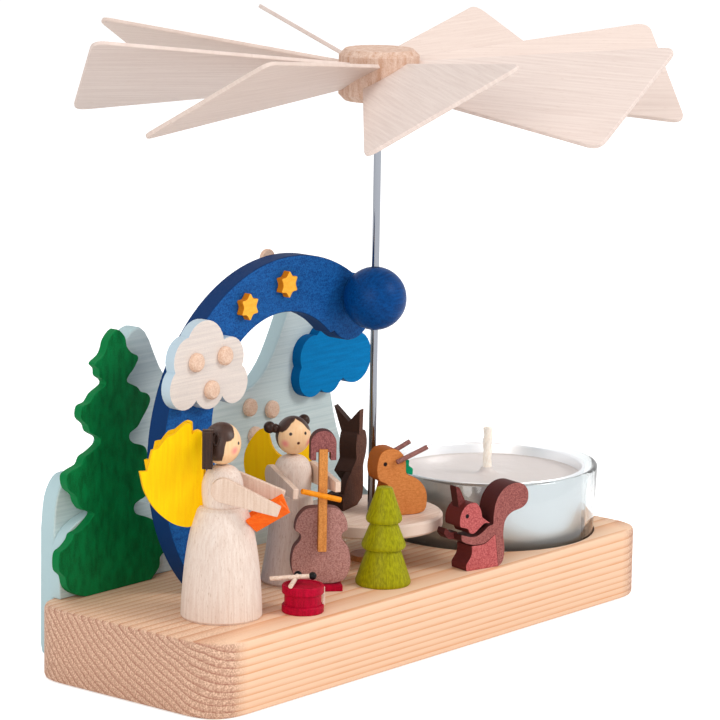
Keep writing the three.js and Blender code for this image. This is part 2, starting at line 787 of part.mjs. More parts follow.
function bassBody() {
  const left = BASS_HALF_OUTLINE.map(([x, z, r]) => [-x, z, r]).toReversed();
  const front = roundedOutline([...BASS_HALF_OUTLINE, ...left]);
  return board(front, BASS_THICKNESS, -BASS_FORWARD + BASS_THICKNESS / 2, 3);
}

// The neck with the scroll's arched head fused on behind its top.
function bassNeck() {
  const neckBack = -BASS_FORWARD - BASS_THICKNESS / 2 - GLUE_LINE;
  const half = BASS_NECK_WIDTH / 2;
  const stick = new THREE.Shape();
  stick.moveTo(-half, BASS_NECK_BOTTOM);
  stick.lineTo(half, BASS_NECK_BOTTOM);
  stick.lineTo(half, BASS_NECK_TOP);
  stick.lineTo(-half, BASS_NECK_TOP);
  stick.closePath();
  const [headHalf, legBottom, slotTop, slotHalf] = [2.7, BASS_NECK_TOP - 2.4, BASS_NECK_TOP - 0.6, 1.3];
  const head = new THREE.Shape();
  head.moveTo(headHalf, legBottom);
  head.absarc(0, BASS_NECK_TOP + 1.2, headHalf, 0, Math.PI, false);
  head.lineTo(-headHalf, legBottom);
  head.lineTo(-slotHalf, legBottom);
  head.lineTo(-slotHalf, slotTop);
  head.lineTo(slotHalf, slotTop);
  head.lineTo(slotHalf, legBottom);
  head.closePath();
  const headBoard = board(head, BASS_THICKNESS, neckBack + BASS_THICKNESS / 2, 8);
  return union([board(stick, BASS_NECK_THICKNESS, neckBack), headBoard]);
}

function angelWithBass() {
  const group = figure(LEFT_END + 44.7, FRONT_EDGE + 21.9, -25.6);
  angel("angel_2", group, ANGEL_WITH_BASS, [10, 7]);
  const bass = new THREE.Group();
  bass.position.set(BASS_ASIDE, 0, BASS_FOOT_HEIGHT);
  group.add(bass);
  add("bass_body", bassBody(), bassMauve, bass);
  add("bass_neck", bassNeck(), neckOrange, bass);
  const footDepth = BASS_THICKNESS + 1.2;
  const foot = new THREE.BoxGeometry(7.2, footDepth, BASS_FOOT_HEIGHT - GLUE_LINE / 2);
  foot.translate(0.4, -BASS_FORWARD - footDepth / 2 + BASS_THICKNESS / 2, -BASS_FOOT_HEIGHT / 2 - GLUE_LINE / 4);
  add("bass_foot", foot, { color: 0xb8102c, roughness: 0.45 }, bass);
  const neckFront = BASS_FORWARD + BASS_THICKNESS / 2 + GLUE_LINE + BASS_NECK_THICKNESS;
  const [start, end, down] = [-ANGEL_WITH_BASS.chestRadius, 4.6, 16];
  const bow = new THREE.CylinderGeometry(BOW_DIAMETER / 2, BOW_DIAMETER / 2, end - start, 10)
    .rotateZ(Math.PI / 2)
    .rotateY(THREE.MathUtils.degToRad(down))
    .translate((start + end) / 2, -neckFront - GLUE_LINE - BOW_DIAMETER / 2, 17.1);
  add("bass_bow", bow, { color: 0xe98614, roughness: 0.5 }, group);
}

function drum() {
  const rim = 0.45;
  const band = 0.9;
  return turned([
    [0, 0],
    [DRUM_RADIUS, 0],
    [DRUM_RADIUS, band],
    [DRUM_RADIUS - rim, band + rim],
    [DRUM_RADIUS - rim, DRUM_HEIGHT - band - rim],
    [DRUM_RADIUS, DRUM_HEIGHT - band],
    [DRUM_RADIUS, DRUM_HEIGHT],
    [0, DRUM_HEIGHT],
  ]);
}

// Two crossed beaters with ball heads that lie on the drumhead, fused where they cross.
function drumBeaters() {
  const beater = (from, to) => {
    const [end, ball] = [from, to].map((point) => new THREE.Vector3(...point));
    const along = ball.clone().sub(end);
    const turn = new THREE.Quaternion().setFromUnitVectors(new THREE.Vector3(0, 1, 0), along.clone().normalize());
    const stick = new THREE.CylinderGeometry(BEATER_RADIUS, BEATER_RADIUS, along.length(), 8)
      .applyQuaternion(turn)
      .translate(...along.multiplyScalar(0.5).add(end));
    return [stick, new THREE.SphereGeometry(BEATER_BALL_RADIUS, 10, 8).translate(...ball)];
  };
  const low = DRUM_HEIGHT + GLUE_LINE + BEATER_RADIUS;
  const high = low + BEATER_RADIUS;
  return union([
    ...beater([-3.4, 4.6, high], [1.5, -1.3, high]),
    ...beater([-3.9, -0.4, low], [1.8, 2.3, high + BEATER_RADIUS / 2]),
  ]);
}

function turnedTree() {
  return turned([
    [0, 0],
    [4.9, 0],
    [5.1, 0.7],
    [2.9, 6.8],
    [3.9, 7],
    [4, 7.9],
    [2.4, 11.6],
    [3.2, 11.8],
    [3.4, 12.6],
    [1.4, 18.6],
    [0.8, 19],
    [0, 19],
  ]);
}

// Squirrel: three coloured pieces sawn to fit each other, seen from the front as [x, height]
const SQUIRREL_HEAD = [
  [-1.1, 9.7, 1],
  [-0.8, 12, 0.8],
  [1, 12.7, 1],
  [3, 12.3, 1],
  [3.6, 10.2, 0.6],
  [5.6, 8.7],
  [4.3, 8.8, 0.5],
  [3, 7.6, 0.5],
  [1.6, 6.9, 0.6],
  [0.6, 8, 0.3],
  [-1, 8.4, 0.5],
];
const SQUIRREL_TAIL = [
  [7.1, 0, 0.3],
  [8.6, 0.9, 0.8],
  [8.8, 3.4, 1.5],
  [8.4, 6.4, 1.5],
  [9.2, 9.2, 1.5],
  [11.6, 10.5, 1],
  [13.6, 11, 1.6],
  [14.2, 13.8, 1.6],
  [12.4, 15.8, 1.8],
  [9, 15.6, 1.8],
  [6.6, 12.8, 1.5],
  [6, 8.6, 0.6],
  [4.5, 8.3, 0.5],
  [3.2, 7.1, 0.5],
  [1.6, 6.3, 0.6],
  [-1.2, 7.6, 0.6],
  [-4.4, 8.6, 0.3],
  [-5, 7.4, 0.3],
  [-2, 5.9, 1],
  [0.6, 4.5, 1],
  [4.4, 4.2, 0.8],
  [6.2, 6.2, 0.1],
];
const SQUIRREL_BODY = [
  [0, 0, 0.3],
  [0, 1.4, 0.4],
  [1.2, 2.6, 0.5],
  [1.3, 4, 0.2],
  [4.2, 3.8, 0.6],
  [5.9, 5, 0.3],
  [6.9, 0],
];
const SQUIRREL_EARS = [
  [[-0.4, 11.6], [-1.4, 15.6], [0.7, 12.4]],
  [[0.6, 12.2], [-0.2, 15.2], [1.9, 12.5]],
];

function squirrel() {
  const group = figure(LEFT_END + 72.4, FRONT_EDGE + 2.5, -14);
  const thick = (points) => board(roundedOutline(points), SQUIRREL_THICKNESS, SQUIRREL_THICKNESS, 3);
  const ears = SQUIRREL_EARS.map((points, i) =>
    board(roundedOutline(points), SQUIRREL_THICKNESS / 3, SQUIRREL_THICKNESS * (0.98 - i * 0.62)),
  );
  const head = union([thick(SQUIRREL_HEAD), ...ears]);
  add("squirrel_body", thick(SQUIRREL_BODY), { color: 0xbb5055, roughness: 0.6 }, group);
  add("squirrel_head", head, { color: 0xbb5055, roughness: 0.6 }, group);
  add("squirrel_tail", thick(SQUIRREL_TAIL), { color: 0x8d4a4c, roughness: 0.65 }, group);
}

// Rabbits on the turntable, profiles as [x, height] on the turntable's top
const ORANGE_RABBIT = [
  [2.2, 0, 0.4],
  [1.7, 3, 1.5],
  [3, 5.9, 0.5],
  [1, 6.6, 1],
  [0.5, 9.4, 1.5],
  [1.3, 12.7, 2],
  [4.2, 13, 2],
  [6.3, 11, 1.5],
  [6.3, 7.6, 0.8],
  [9, 6.6, 1.5],
  [11, 4, 2.5],
  [10.6, 0.4, 1.2],
  [8.6, 0, 0.5],
];
const BROWN_RABBIT = [
  [0, 0, 0.3],
  [0, 3.1, 0.4],
  [6, 3.2, 0.5],
  [6.5, 4.4, 0.3],
  [3.3, 6.9, 0.2],
  [5.7, 8.9, 0.3],
  [5.3, 11.6, 1.5],
  [5.9, 14, 0.8],
  [9.4, 14.1, 1],
  [10.4, 11.6, 1.5],
  [9.8, 9.2, 1],
  [8.7, 7.4, 0.8],
  [8.9, 3.4, 1.5],
  [8.6, 1.2, 0.8],
  [6.2, 0, 0.2],
];
const BROWN_RABBIT_HAUNCH = [
  [0.2, 0],
  [0.5, 3.4, 1],
  [1.6, 5.6, 1],
  [4.2, 7.4, 0.5],
  [8.4, 7.4],
  [8.4, 1],
  [6, 0.2],
];
// The ears are one V sawn across the head, as [across, height]
const BROWN_RABBIT_EARS = [
  [3.4, 13.6],
  [5.1, 18.7, 0.2],
  [2, 15.8, 0.2],
  [-0.3, 18.4, 0.2],
  [-0.2, 13.6],
];
const EAR_LENGTH = 6.9;

function orangeRabbit() {
  const group = figure(-4.6, -4.7, -24.7);
  group.position.z = turntableTop;
  const body = board(roundedOutline(ORANGE_RABBIT), RABBIT_THICKNESS, RABBIT_THICKNESS, 3);
  add("orange_rabbit", body, { color: 0xcd7d3f, roughness: 0.65 }, group);
  const earSide = EAR_RADIUS + GLUE_LINE;
  const ear = (y, degreesUp) =>
    new THREE.CylinderGeometry(EAR_RADIUS, EAR_RADIUS, EAR_LENGTH, 8)
      .translate(0, EAR_LENGTH / 2, 0)
      .rotateZ(THREE.MathUtils.degToRad(-90))
      .rotateY(THREE.MathUtils.degToRad(-degreesUp))
      .translate(4.2, y, 10);
  const earWood = { color: 0x8a5350, roughness: 0.7 };
  add("rabbit_ear_left", ear(-earSide, 24), earWood, group);
  add("rabbit_ear_right", ear(RABBIT_THICKNESS + earSide, 33), earWood, group);
  const leaf = roundedOutline([[6.5, 7.9], [6.5, 10.3, 0.3], [7.2, 9.7, 0.3], [7.1, 8.9, 0.2], [7.9, 8.2, 0.3]]);
  const scarf = board(leaf, RABBIT_THICKNESS / 2, (RABBIT_THICKNESS * 3) / 4, 2);
  add("rabbit_scarf", scarf, { color: 0x0b8f5a, roughness: 0.6 }, group);
}

function brownRabbit() {
  const group = figure(-4.95, 1.85, 14.6);
  group.position.z = turntableTop;
  const [width, haunchWidth, earWidth, earFront] = [3.5, 1.2, 1.6, 6.2];
  const body = board(roundedOutline(BROWN_RABBIT), width, width, 3);
  const haunch = board(roundedOutline(BROWN_RABBIT_HAUNCH), haunchWidth, haunchWidth, 3);
  const ears = board(roundedOutline(BROWN_RABBIT_EARS), earWidth, -earFront, 2).rotateZ(Math.PI / 2);
  add("brown_rabbit", union([body, haunch, ears]), { color: 0x4f302a, roughness: 0.65 }, group);
}

christmasPyramid.name = "christmas_pyramid";
add("base_board", baseBoard(), pine);
candle();
add("bearing_socket", bearingSocket(), { color: 0x8c3f24, roughness: 0.5 });
add("spindle_shaft", spindleShaft(), { color: 0xd8d8da, roughness: 0.12, metalness: 1 });
add("turntable", turntable(), plainWood);
add("rotor_hub", rotorHub(), plainWood);
for (let i = 0; i < BLADE_COUNT; i++) add(`blade_${i + 1}`, blade(i), plainWood);
add("moon_arch", moonArch(), nightBlue);
add("guide_ball", guideBall(), nightBlue);
STAR_ANGLES.forEach((angle, i) => add(`star_${i + 1}`, star(angle), { color: 0xf5a42c, roughness: 0.5 }));
add("white_cloud", cloud(WHITE_CLOUD_LOBES, CLOUD_THICKNESS, archFront).translate([0, 0, BASE_HEIGHT]), plainWood);
add("blue_cloud", cloud(BLUE_CLOUD_LOBES, CLOUD_THICKNESS, BACK_EDGE).translate([0, 0, BASE_HEIGHT]), {
  color: 0x0075b8,
  roughness: 0.5,
});
CLOUD_PEGS.forEach(([x, z], i) =>
  add(`cloud_peg_${i + 1}`, peg(x, BASE_HEIGHT + z, archFront - CLOUD_THICKNESS), pegWood),
);
SNOW_PEGS.forEach(([x, z], i) => add(`snow_peg_${i + 1}`, peg(x, BASE_HEIGHT + z, BACK_EDGE), pegWood));
add("backdrop_panel", backdropPanel(), snowBlue);
add("snow_hill", snowHill(), snowBlue);
add("fir_tree", firTree(), firGreen);
const archPeg = peg(0, 0, 0).rotateZ(Math.PI).translate(ARCH_PEG[0], archBack, BASE_HEIGHT + ARCH_PEG[1]);
add("arch_peg", archPeg, pegWood);
angelWithBook();
angelWithBass();
const drumPlace = figure(LEFT_END + 29.2, FRONT_EDGE + 5.9, 0);
add("drum", drum(), { color: 0xb8102c, roughness: 0.45 }, drumPlace);
add("drum_beaters", drumBeaters(), plainWood, drumPlace);
add("turned_tree", turnedTree(), { color: 0xaab81e, roughness: 0.6 }, figure(LEFT_END + 54.8, FRONT_EDGE + 8.2, 0));
squirrel();
orangeRabbit();
brownRabbit();

export default christmasPyramid;
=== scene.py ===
import json
import math

import bmesh
import bpy
from mathutils import Matrix, Vector


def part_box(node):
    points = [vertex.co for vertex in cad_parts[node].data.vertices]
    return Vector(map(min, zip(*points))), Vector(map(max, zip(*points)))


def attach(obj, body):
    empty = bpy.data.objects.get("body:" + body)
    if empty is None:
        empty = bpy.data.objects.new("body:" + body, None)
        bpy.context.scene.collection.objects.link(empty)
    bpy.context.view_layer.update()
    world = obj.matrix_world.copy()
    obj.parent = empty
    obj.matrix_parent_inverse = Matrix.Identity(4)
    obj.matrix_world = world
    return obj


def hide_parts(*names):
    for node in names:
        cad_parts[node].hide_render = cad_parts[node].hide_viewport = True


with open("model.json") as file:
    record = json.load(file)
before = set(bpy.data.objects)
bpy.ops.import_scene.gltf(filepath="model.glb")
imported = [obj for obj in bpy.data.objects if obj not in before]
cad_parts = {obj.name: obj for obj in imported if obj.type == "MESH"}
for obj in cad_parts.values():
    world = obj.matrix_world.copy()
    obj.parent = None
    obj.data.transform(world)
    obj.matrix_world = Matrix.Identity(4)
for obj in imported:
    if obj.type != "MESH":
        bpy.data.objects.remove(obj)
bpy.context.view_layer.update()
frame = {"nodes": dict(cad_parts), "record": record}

# A small wooden Christmas pyramid. The camera stands low in front of the board's left end and
# looks along it with a long lens.
MM = 0.001
scene = bpy.context.scene
lens = bpy.data.cameras.new("camera")
lens.lens = 190.17
lens.sensor_width = 36
lens.clip_start = 0.05
camera = bpy.data.objects.new("camera", lens)
right = Vector((0.63739, -0.77036, 0.01679))
up = Vector((0.13483, 0.13296, 0.98191))
camera.matrix_world = Matrix((right, up, right.cross(up))).transposed().to_4x4()
camera.matrix_world.translation = Vector((-536.9, -438.0, 184.1)) * MM
scene.collection.objects.link(camera)
scene.camera = camera
scene.view_settings.view_transform = "Standard"


# Studio: one large soft lamp at the front right, a weak one on the left and one above. The floor
# is white card that keeps the shadow, and everything behind it is white.
def linear(hexadecimal):
    """The linear colour of an sRGB value such as 0xE8D3C4."""
    parts = [((hexadecimal >> shift) & 255) / 255 for shift in (16, 8, 0)]
    return tuple(c / 12.92 if c <= 0.04045 else ((c + 0.055) / 1.055) ** 2.4 for c in parts) + (1,)


def add(tree, kind, inputs=(), **settings):
    """Adds a node; an input is given by name or index as a value or as another node's output."""
    node = tree.nodes.new(kind if "Node" in kind else "ShaderNode" + kind)
    for key, value in settings.items():
        setattr(node, key, value)
    for key, value in dict(inputs).items():
        if isinstance(value, bpy.types.NodeSocket):
            tree.links.new(value, node.inputs[key])
        else:
            node.inputs[key].default_value = value
    return node


def new_material(name):
    material = bpy.data.materials.new(name)
    material.use_nodes = True
    material.node_tree.nodes.clear()
    return material, material.node_tree


def lamp(name, place, width, watts, colour):
    light = bpy.data.lights.new(name, "AREA")
    light.shape = "DISK"
    light.size = width
    light.energy = watts
    light.color = linear(colour)[:3]
    holder = bpy.data.objects.new(name, light)
    holder.location = Vector(place)
    holder.rotation_euler = (Vector((0, 0, 0.05)) - holder.location).to_track_quat("-Z", "Y").to_euler()
    scene.collection.objects.link(holder)


lamp("key", (0.35, -0.8, 0.7), 0.5, 5.7, 0xFFFCF9)
lamp("fill", (-0.9, -0.35, 0.4), 0.6, 3.6, 0xFFFBF6)
lamp("top", (-0.05, 0.25, 0.9), 0.7, 2.2, 0xFFFFFF)

world = bpy.data.worlds.new("studio")
world.use_nodes = True
scene.world = world
tree = world.node_tree
tree.nodes.clear()


def seen_sharply(tree):
    """1 for the eye's own rays and for those mirrored by metal or bent by glass, else 0."""
    path = add(tree, "LightPath")
    direct = add(tree, "Math", {0: path.outputs["Is Camera Ray"], 1: path.outputs["Is Transmission Ray"]},
                 operation="MAXIMUM")
    seen = add(tree, "Math", {0: direct.outputs[0], 1: path.outputs["Is Glossy Ray"]}, operation="MAXIMUM")
    return seen.outputs[0]


plain = add(tree, "Background", {"Color": linear(0xF8F8FA), "Strength": 0.56})
white = add(tree, "Background", {"Color": linear(0xFFFFFF), "Strength": 1})
mixed = add(tree, "MixShader", {0: seen_sharply(tree), 1: plain.outputs[0], 2: white.outputs[0]})
add(tree, "OutputWorld", {"Surface": mixed.outputs[0]})

mesh = bpy.data.meshes.new("floor")
mesh.from_pydata([(-3, -3, 0), (3, -3, 0), (3, 3, 0), (-3, 3, 0)], [], [(0, 1, 2, 3)])
floor = bpy.data.objects.new("floor", mesh)
scene.collection.objects.link(floor)
card, tree = new_material("matt white card")
diffuse = add(tree, "BsdfDiffuse", {"Color": linear(0xF4F4F4)})
glow = add(tree, "Emission", {"Color": linear(0xFFFFFF), "Strength": 0.5})
lit = add(tree, "AddShader", {0: diffuse.outputs[0], 1: glow.outputs[0]})
mixed = add(tree, "MixShader", {0: seen_sharply(tree), 1: diffuse.outputs[0], 2: lit.outputs[0]})
add(tree, "OutputMaterial", {"Surface": mixed.outputs[0]})
mesh.materials.append(card)

# Base board: a block of slow-grown pine with its edges eased by sanding, a round recess for the
# candle and a hole for the bearing. Pale early wood and orange late wood lie in rings about
# 1.3 mm apart round a heart above and in front of the block; the sawn ends look darker, and
# that darker colour reaches round the rounded corners as painted shade.
BOARD_TOP = 13.4


def finished(name, shape, edge=0.2, sharp=35, steps=2):
    """Turns a bmesh into a piece: smooth but for edges above sharp degrees, which are eased by edge mm."""
    bmesh.ops.remove_doubles(shape, verts=shape.verts, dist=0.002 * MM)
    bmesh.ops.recalc_face_normals(shape, faces=shape.faces)
    for face in shape.faces:
        face.smooth = True
    for line in shape.edges:
        line.smooth = line.calc_face_angle(0) < math.radians(sharp)
    mesh = bpy.data.meshes.new(name)
    shape.to_mesh(mesh)
    shape.free()
    piece = bpy.data.objects.new(name + "_finished", mesh)
    scene.collection.objects.link(piece)
    if edge:
        bevel = piece.modifiers.new("eased edges", "BEVEL")
        bevel.width = edge * MM
        bevel.segments = steps
        bevel.limit_method = "ANGLE"
        bevel.angle_limit = math.radians(sharp)
        bevel.harden_normals = True
    return piece


def at(place=(0, 0, 0), turn=0):
    """The matrix that turns a piece by degrees about Z and then moves it, in mm."""
    return Matrix.Translation(Vector(place) * MM) @ Matrix.Rotation(math.radians(turn), 4, "Z")


def copied(node, edge=0.2, sharp=35, move=Matrix()):
    """A finished piece from a merged copy of a CAD node, moved a little where the photograph asks."""
    shape = bmesh.new()
    shape.from_mesh(frame["nodes"][node].data)
    bmesh.ops.remove_doubles(shape, verts=shape.verts, dist=0.002 * MM)
    bmesh.ops.dissolve_limit(shape, angle_limit=math.radians(1), verts=shape.verts, edges=shape.edges)
    bmesh.ops.transform(shape, matrix=move, verts=shape.verts)
    return finished(node, shape, edge, sharp)


bodies = {node: body for body, nodes in frame["record"]["behaviour"]["bodies"].items() for node in nodes}


def fit(piece, material, *nodes):
    """Gives a piece its material and lets it stand for CAD nodes of one body."""
    piece.data.materials.clear()
    piece.data.materials.append(material)
    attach(piece, bodies[nodes[0]])
    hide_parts(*nodes)
    return piece


def ramp(tree, value, stops):
    """A colour ramp of grey levels, given as position and level."""
    node = add(tree, "ValToRGB", {"Fac": value})
    elements = node.color_ramp.elements
    elements[0].position, elements[-1].position = stops[0][0], stops[-1][0]
    for position, _ in stops[1:-1]:
        elements.new(position)
    for element, (_, level) in zip(elements, stops):
        element.color = (level, level, level, 1)
    return node.outputs[0]


def noise(tree, place, scale, detail):
    """Noise from 0 to 1. Its scale is per metre: one number, or one for each axis."""
    if not isinstance(scale, (int, float)):
        place, scale = add(tree, "Mapping", {"Vector": place, "Scale": scale}).outputs[0], 1
    return add(tree, "TexNoise", {"Vector": place, "Scale": scale, "Detail": detail}).outputs["Fac"]


def remap(tree, value, low, high, to_low=0, to_high=1):
    """Stretches the range from low to high onto another one and clamps what lies outside."""
    return add(tree, "MapRange", {"Value": value, "From Min": low, "From Max": high,
                                  "To Min": to_low, "To Max": to_high}).outputs[0]


def blend(tree, share, first, second):
    """Mixes two colours by a share from 0 to 1. Each is an sRGB value or a node's output."""
    first, second = (linear(colour) if isinstance(colour, int) else colour for colour in (first, second))
    return add(tree, "Mix", {0: share, 6: first, 7: second}, data_type="RGBA").outputs[2]


pine, tree = new_material("sanded pine")
ring_spacing, ring_wander = 1.28, 3.5
where = add(tree, "TexCoord")
heart = add(tree, "VectorMath", {0: where.outputs["Object"], 1: (0, -0.028, 0.045)}, operation="SUBTRACT")
flat = add(tree, "VectorMath", {0: heart.outputs[0], 1: (0.02, 1, 1)}, operation="MULTIPLY")
radius = add(tree, "VectorMath", {0: flat.outputs[0]}, operation="LENGTH")
wander = noise(tree, flat.outputs[0], 70, 2)
shifted = add(tree, "Math", {0: wander, 1: ring_wander * MM, 2: radius.outputs["Value"]},
              operation="MULTIPLY_ADD")
rings = add(tree, "Math", {0: shifted.outputs[0], 1: 1000 / ring_spacing}, operation="MULTIPLY")
ring = add(tree, "Math", {0: rings.outputs[0]}, operation="FRACT")
late = ramp(tree, ring.outputs[0], ((0, 0), (0.4, 0.1), (0.72, 0.5), (0.88, 1), (0.97, 0)))
fibre = noise(tree, where.outputs["Object"], (120, 2600, 2600), 2)
line = add(tree, "Math", {0: late, 1: remap(tree, fibre, 0.3, 0.7, 0.6)}, operation="MULTIPLY")
side = blend(tree, line.outputs[0], 0xEFCBAC, 0xDD9A6A)
grit = noise(tree, where.outputs["Object"], 3300, 2)
sawn_end = blend(tree, remap(tree, grit, 0.42, 0.62), 0xBD947C, 0xE8C4A9)
end_line = add(tree, "Math", {0: line.outputs[0], 1: 0.95}, operation="MULTIPLY")
end = blend(tree, end_line.outputs[0], sawn_end, 0x9C604C)
facing = add(tree, "SeparateXYZ", {0: where.outputs["Normal"]})
end_grain_and_corner_shade = add(tree, "Math", {0: facing.outputs[0]}, operation="ABSOLUTE")
# Darker end-grain colour on faces turned towards X; its wide range also paints shade onto the rounded
# corners.
colour = blend(tree, remap(tree, end_grain_and_corner_shade.outputs[0], 0.03, 0.32), side, end)
relief = add(tree, "Math", {0: line.outputs[0], 1: fibre}, operation="ADD")
bump = add(tree, "Bump", {"Height": relief.outputs[0], "Strength": 0.25, "Distance": 0.00012})
skin = add(tree, "BsdfPrincipled", {"Base Color": colour, "Roughness": 0.58, "Normal": bump.outputs[0],
                                    "Specular IOR Level": 0.2})
add(tree, "OutputMaterial", {"Surface": skin.outputs[0]})
fit(copied("base_board", edge=0, sharp=25), pine, "base_board")


# Bearing and spindle: a brown-stained wooden socket glued in the board, and a polished steel rod
# that runs on its own point in it. The wooden turntable is pushed on the rod.
def wood(name, light, dark, grain="Z", across=0.5, along=9, speckle=0.25, edge=None, face=(0, 1, 0),
         roughness=0.6, relief=0.3, sheen=0.12, dash=None, dots=()):
    """Bare, stained or painted wood: streaks with the grain, pores over them and darker sawn edges.
    Sizes in mm. edge is the colour away from the direction face, dash that of short dark dashes
    with the grain, and each of dots is a spot of paint as place, radius, colour, softness.
    A dry stain has little sheen, so sheen starts low."""
    material, tree = new_material(name)
    where = add(tree, "TexCoord")
    place = where.outputs["Object"]
    streak = noise(tree, place, [1000 / (along if axis == grain else across) for axis in "XYZ"], 3)
    pores = noise(tree, place, 4000, 1)
    both = add(tree, "Mix", {0: speckle, 2: streak, 3: pores})
    colour = blend(tree, remap(tree, both.outputs[0], 0.36, 0.64), dark, light)
    if dash is not None:
        dash_length, dash_width = 1.1, 0.16
        fine = [1000 / (dash_length if axis == grain else dash_width) for axis in "XYZ"]
        colour = blend(tree, remap(tree, noise(tree, place, fine, 1), 0.62, 0.86), colour, dash)
    if edge is not None:
        facing = add(tree, "VectorMath", {0: where.outputs["Normal"], 1: face}, operation="DOT_PRODUCT")
        flat = add(tree, "Math", {0: facing.outputs["Value"]}, operation="ABSOLUTE")
        colour = blend(tree, remap(tree, flat.outputs[0], 0.6, 0.9), edge, colour)
    colour = dotted(tree, place, colour, dots)
    bump = add(tree, "Bump", {"Height": both.outputs[0], "Strength": relief, "Distance": 0.00015})
    skin = add(tree, "BsdfPrincipled", {
        "Base Color": colour, "Roughness": roughness, "Normal": bump.outputs[0], "Specular IOR Level": sheen})
    add(tree, "OutputMaterial", {"Surface": skin.outputs[0]})
    return material


def dotted(tree, place, colour, dots):
    """Adds spots of paint to a colour: centre and radius in mm, a colour and how soft the rim is."""
    for centre, radius, paint, softness in dots:
        away = add(tree, "VectorMath", {0: place, 1: Vector(centre) * MM}, operation="DISTANCE")
        reach = radius * MM
        share = remap(tree, away.outputs["Value"], reach * (1 + softness), reach * (1 - softness))
        colour = blend(tree, share, colour, paint)
    return colour


def spline(points, steps=5):
    """A smooth line through the points, for turned profiles and sawn outlines."""
    ends = [points[0], *points, points[-1]]
    line = []
    for a, b, c, d in zip(ends, ends[1:], ends[2:], ends[3:]):
        a, b, c, d = (Vector(point) for point in (a, b, c, d))
        for t in (step / steps for step in range(steps)):
            square, cube = a - 2.5 * b + 2 * c - d / 2, 1.5 * b - a / 2 - 1.5 * c + d / 2
            line.append(b + (c - a) * t / 2 + square * t**2 + cube * t**3)
    return [tuple(point) for point in line] + [tuple(points[-1])]


def turned(name, profile, move=Matrix(), edge=0, sharp=35, turns=96):
    """A piece turned on the lathe from a profile of radius and height in mm."""
    shape = bmesh.new()
    line = [shape.verts.new((radius * MM, 0, height * MM)) for radius, height in profile]
    rim = [shape.edges.new(pair) for pair in zip(line, line[1:])]
    bmesh.ops.spin(shape, geom=line + rim, cent=(0, 0, 0), axis=(0, 0, 1), angle=2 * math.pi, steps=turns)
    bmesh.ops.transform(shape, matrix=move, verts=shape.verts)
    return finished(name, shape, edge, sharp)


socket_brown = wood("brown stain on a turned socket", 0xD08A56, 0xB0703F, "Z", 0.6, 2, 0.4, roughness=0.45)
SOCKET_DROP = 1.4
fit(copied("bearing_socket", 0.1, move=at((0, 0, -SOCKET_DROP))), socket_brown, "bearing_socket")
steel, tree = new_material("polished steel rod")
# The colour is darker than bare steel: a painted reflection of a dark studio, which the rod does not mirror
# here.
metal = add(tree, "BsdfPrincipled", {"Base Color": linear(0x8C9098), "Metallic": 1, "Roughness": 0.12})
add(tree, "OutputMaterial", {"Surface": metal.outputs[0]})
ROD_RADIUS, ROD_CHAMFER, ROD_TOP, ROD_POINT, ROD_SHOULDER = 0.7, 0.3, 107, 11.48, 12.68
rod = [(0, ROD_POINT), (ROD_RADIUS, ROD_SHOULDER), (ROD_RADIUS, ROD_TOP - ROD_CHAMFER),
       (ROD_RADIUS - ROD_CHAMFER, ROD_TOP), (0, ROD_TOP)]
fit(turned("spindle_shaft", rod), steel, "spindle_shaft")
plate_wood = wood("bare limewood disc", 0xEEDACB, 0xDABFAC, "X", 0.4, 12, 0.3, 0xE6D0C2, (0, 0, 1))
TABLE_TOP, TABLE_THICKNESS, TABLE_RADIUS, TABLE_EDGE = 22.5, 2.6, 13.4, 0.4
low = TABLE_TOP - TABLE_THICKNESS
plate = [(ROD_RADIUS, low), (TABLE_RADIUS - TABLE_EDGE, low), (TABLE_RADIUS, low + TABLE_EDGE),
         (TABLE_RADIUS, TABLE_TOP - TABLE_EDGE), (TABLE_RADIUS - TABLE_EDGE, TABLE_TOP),
         (ROD_RADIUS, TABLE_TOP)]
fit(turned("turntable", plate), plate_wood, "turntable")

# Candle end: a clear pressed-glass cup stands in the recess; its gloss is a coat, and it bends light
# little, so that the foil shows through its wall. The tealight is a drawn aluminium cup, cast
# paraffin wax that climbs a little at the wick, and a braided cotton wick.
CANDLE_X = 35.3
candle = at((CANDLE_X, 0, 0))
glass, tree = new_material("clear pressed glass")
clear = add(tree, "BsdfPrincipled", {"Base Color": linear(0xE0E5E6), "Roughness": 0.02, "IOR": 1.04,
                                     "Transmission Weight": 1, "Coat Weight": 1, "Coat IOR": 1.5})
add(tree, "OutputMaterial", {"Surface": clear.outputs[0]})
cup = [(0, 7.9), (19.5, 7.9), (20.3, 8.2), (20.62, 9), (21.4, 25.9), (21.2, 26.3), (20.75, 26.4),
       (20.3, 26.2), (20.1, 25.7), (19.35, 10.9), (19.1, 10.35), (18.4, 10.1), (0, 10.1)]
fit(turned("glass_cup", cup, candle, sharp=60), glass, "glass_cup")
foil, tree = new_material("drawn aluminium foil")
where = add(tree, "TexCoord")
ripple = noise(tree, where.outputs["Object"], (220, 220, 40), 2)
bump = add(tree, "Bump", {"Height": ripple, "Strength": 0.15, "Distance": 0.0005})
metal = add(tree, "BsdfPrincipled", {"Base Color": linear(0xF2F3F5), "Metallic": 1, "Roughness": 0.36,
                                     "Normal": bump.outputs[0]})
add(tree, "OutputMaterial", {"Surface": metal.outputs[0]})
cup = [(0, 10.1), (17.8, 10.1), (18.4, 10.4), (18.65, 11.2), (18.65, 25.3), (18.95, 25.45), (19, 25.8),
       (18.8, 26.08), (18.45, 26), (18.3, 25.6), (18.3, 10.45), (0, 10.45)]
fit(turned("tealight_cup", cup, candle, sharp=60), foil, "tealight_cup")
paraffin, tree = new_material("cast paraffin wax")
where = add(tree, "TexCoord")
cloudy = noise(tree, where.outputs["Object"], 260, 2)
bump = add(tree, "Bump", {"Height": cloudy, "Strength": 0.35, "Distance": 0.0006})
